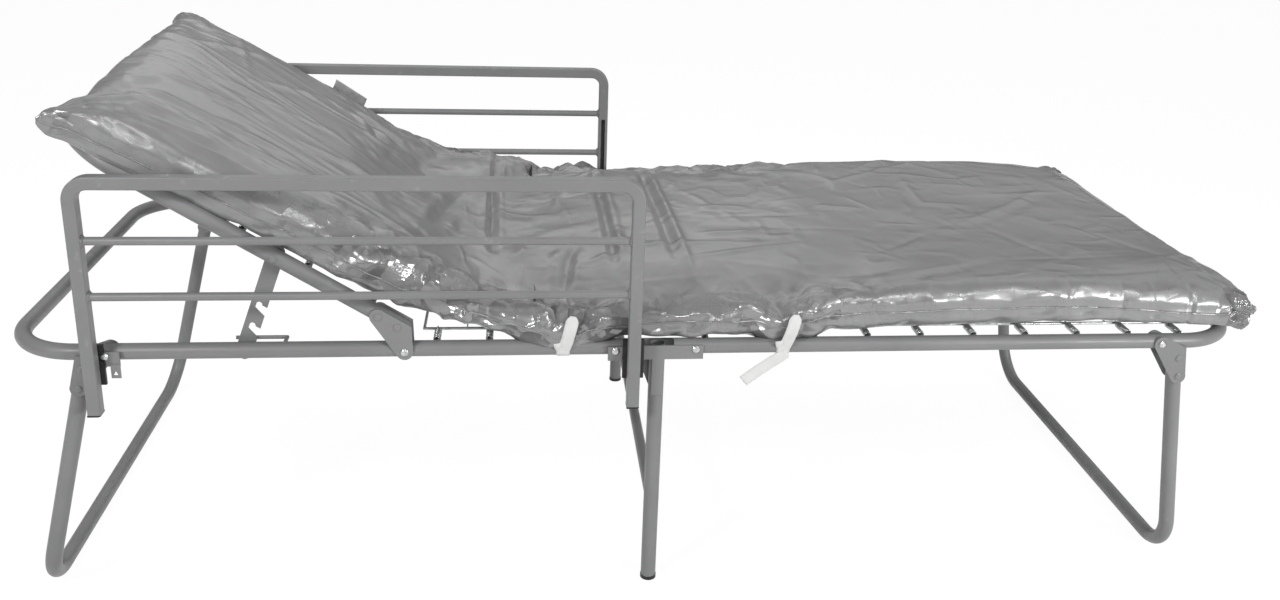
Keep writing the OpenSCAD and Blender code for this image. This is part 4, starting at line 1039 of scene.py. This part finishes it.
def stitches(x, side):
    """Two short rows of thread where the strap is sewn to the seam."""
    parts = []
    for row, high in enumerate((0.0335, 0.0375)):
        out = -0.02335 - 0.00028 * row
        for k in range(5):
            a = 0.0062 + 0.0034 * (k - 2) - 0.0011
            parts.append(sweep([
                (x + a + step, side * (side_y - out - strap_thick / 2 + proud), rail_z + high)
                for step, proud in ((0.0, 0.0008), (0.0011, 0.0012), (0.0022, 0.0008))], 0.0003, 5))
    return parts


def loose_end(x, side):
    """The foot strap's loose end, which hangs on below the rail."""
    line = soft_curve([
        (0.002, -0.0125, -0.0072), (-0.006, -0.0105, -0.016), (-0.024, -0.008, -0.03),
        (-0.048, -0.009, -0.047), (-0.066, -0.011, -0.06)])
    return ribbon(beside_rail(line, x, side), 0.019, (0.62, 0.16 * side, -0.72))


def make_ribbons(name, parts, threads, finish, body, node):
    """One piece of several ribbons and the threads that hold them, on a body in place of a node."""
    points, faces = merge([(p, f) for p, f, _, _ in parts] + threads)
    piece = make_piece(name, points, faces, finish)
    spare = len(points) - sum(len(p[0]) for p in parts)
    for label, k in (("along", 2), ("across", 3)):
        carry(piece.data, label, np.concatenate([np.array(p[k]) for p in parts] + [np.zeros(spare)]))
    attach(piece, body)
    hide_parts(node)


head_straps = strap_loop(strap_head_x, -1) + strap_loop(strap_head_x, 1)
foot_straps = [
    part for side in (-1, 1) for part in strap_loop(strap_foot_x, side) + [loose_end(strap_foot_x, side)]]
head_threads, foot_threads = (stitches(x, -1) + stitches(x, 1) for x in (strap_head_x, strap_foot_x))
make_ribbons("straps_head", head_straps, head_threads, webbing, "head_half", "strap_loops_head")
make_ribbons("straps_foot", foot_straps, foot_threads, webbing, "foot_half", "strap_loops_foot")


# Tab. A short folded piece of pale grey tape is caught in the far seam, high on the backrest, and
# stands up from it. The tape is a matt weave.
tab_wide = 0.074
tab_s = 0.274
tab_tape = spotted_finish(
    "pale_grey_tape", 0.7, 0.0, spots=(70, 5, 0.35, 0.65), dark=(0.27, 0.27, 0.272), light=(0.4, 0.4, 0.402),
    pebble=(900, 2, 0.5, 0.0004))
tab_line = soft_curve([
    (tab_s, 0.3985, 0.073), (tab_s + 0.001, 0.4, 0.088),
    (tab_s + 0.002, 0.4005, 0.1), (tab_s + 0.004, 0.4, 0.112)])
tab_points, tab_faces, tab_along, tab_across = ribbon(tab_line, tab_wide, (1.0, 0, 0.03))
tab_points = tab_points * np.array((-1, 1, 1)) @ lean + backrest_pivot
tab_part = (tab_points, [face[::-1] for face in tab_faces], tab_along, tab_across)
make_ribbons("tab", [tab_part], [], tab_tape, "backrest", "mattress_tab")


# Floor and light. The cot stands on a plain white floor under soft studio lamps: a broad one
# overhead, a small key at the near left, a low fill and a thin strip at the near right, and a weak
# one behind. The walls are white, and mirror in the finishes as if they were darker low and overhead.
floor_half = 14
floor_finish = start_finish("studio_floor", 0.9)
floor_finish.shader.inputs["Base Color"].default_value = (0.86, 0.86, 0.86, 1)
glow = floor_finish.add("Emission", {"Strength": 1.06}).outputs["Emission"]
floor_seen = floor_finish.add("LightPath", {}).outputs
floor_share = floor_finish.combine(
    "MAXIMUM", floor_finish.combine("MULTIPLY", floor_seen["Is Camera Ray"], 0.9),
    floor_finish.combine("MULTIPLY", floor_seen["Is Glossy Ray"], 0.7))
floor_mix = floor_finish.add(
    "MixShader", {"Fac": floor_share, 1: floor_finish.shader.outputs["BSDF"], 2: glow}).outputs["Shader"]
floor_finish.join(floor_mix, floor_finish.tree.nodes["Material Output"].inputs["Surface"])
floor_corners = [(floor_half * x, floor_half * y, 0) for x, y in ((-1, -1), (1, -1), (1, 1), (-1, 1))]
floor = make_piece("floor", floor_corners, [(0, 1, 2, 3)], floor_finish)
floor.location.z = -0.0005

walls = Nodes(bpy.data.worlds.new("studio"))
bpy.context.scene.world = walls.holder
seen = walls.add("LightPath", {}).outputs
upward = walls.add("SeparateXYZ", {"Vector": walls.places["Generated"]}).outputs["Z"]
wall_tone = walls.combine(
    "MINIMUM", walls.ramp(upward, 0.12, 0.62, 0.16, 0.78), walls.ramp(upward, 0.62, 0.9, 0.78, 0.18))
mirrored = walls.combine("MULTIPLY", seen["Is Glossy Ray"], wall_tone)
lighting = walls.combine("MULTIPLY", seen["Is Diffuse Ray"], 0.26)
wall_light = walls.combine(
    "MAXIMUM", walls.combine("MAXIMUM", mirrored, seen["Is Camera Ray"]),
    walls.combine("MAXIMUM", lighting, seen["Is Transmission Ray"]))
backdrop = walls.tree.nodes["Background"]
backdrop.inputs["Color"].default_value = (1, 1, 1, 1)
walls.join(wall_light, backdrop.inputs["Strength"])


def lamp(name, place, aim, size, power, shines=True):
    """A flat lamp of a width and height, aimed at a place. One that doesn't shine isn't mirrored."""
    light = bpy.data.lights.new(name, "AREA")
    light.shape = "RECTANGLE"
    light.size, light.size_y = size
    light.energy = power
    holder = bpy.data.objects.new(name, light)
    holder.location = place
    holder.visible_glossy = shines
    holder.rotation_euler = (Vector(aim) - Vector(place)).to_track_quat("-Z", "Y").to_euler()
    bpy.context.collection.objects.link(holder)


lamp("overhead", (-0.2, 0.7, 2.9), (0, 0, 0.4), (3.0, 1.2), 31, shines=False)
lamp("key", (-2.2, -2.4, 2.2), (-0.2, 0, 0.5), (0.5, 0.5), 46)
lamp("fill", (2.5, -2.8, 1.25), (0.3, 0, 0.45), (0.9, 0.4), 56)
lamp("strip", (1.0, -2.6, 2.6), (0.4, -0.3, 0.5), (2.0, 0.06), 16)
lamp("rim", (-0.3, 3.2, 2.1), (0, 0, 0.5), (2.8, 0.7), 4)
bpy.context.scene.view_settings.view_transform = "Standard"


def corners(box):
    """A box's two corners as plain lists of numbers."""
    return [list(map(float, corner)) for corner in box]
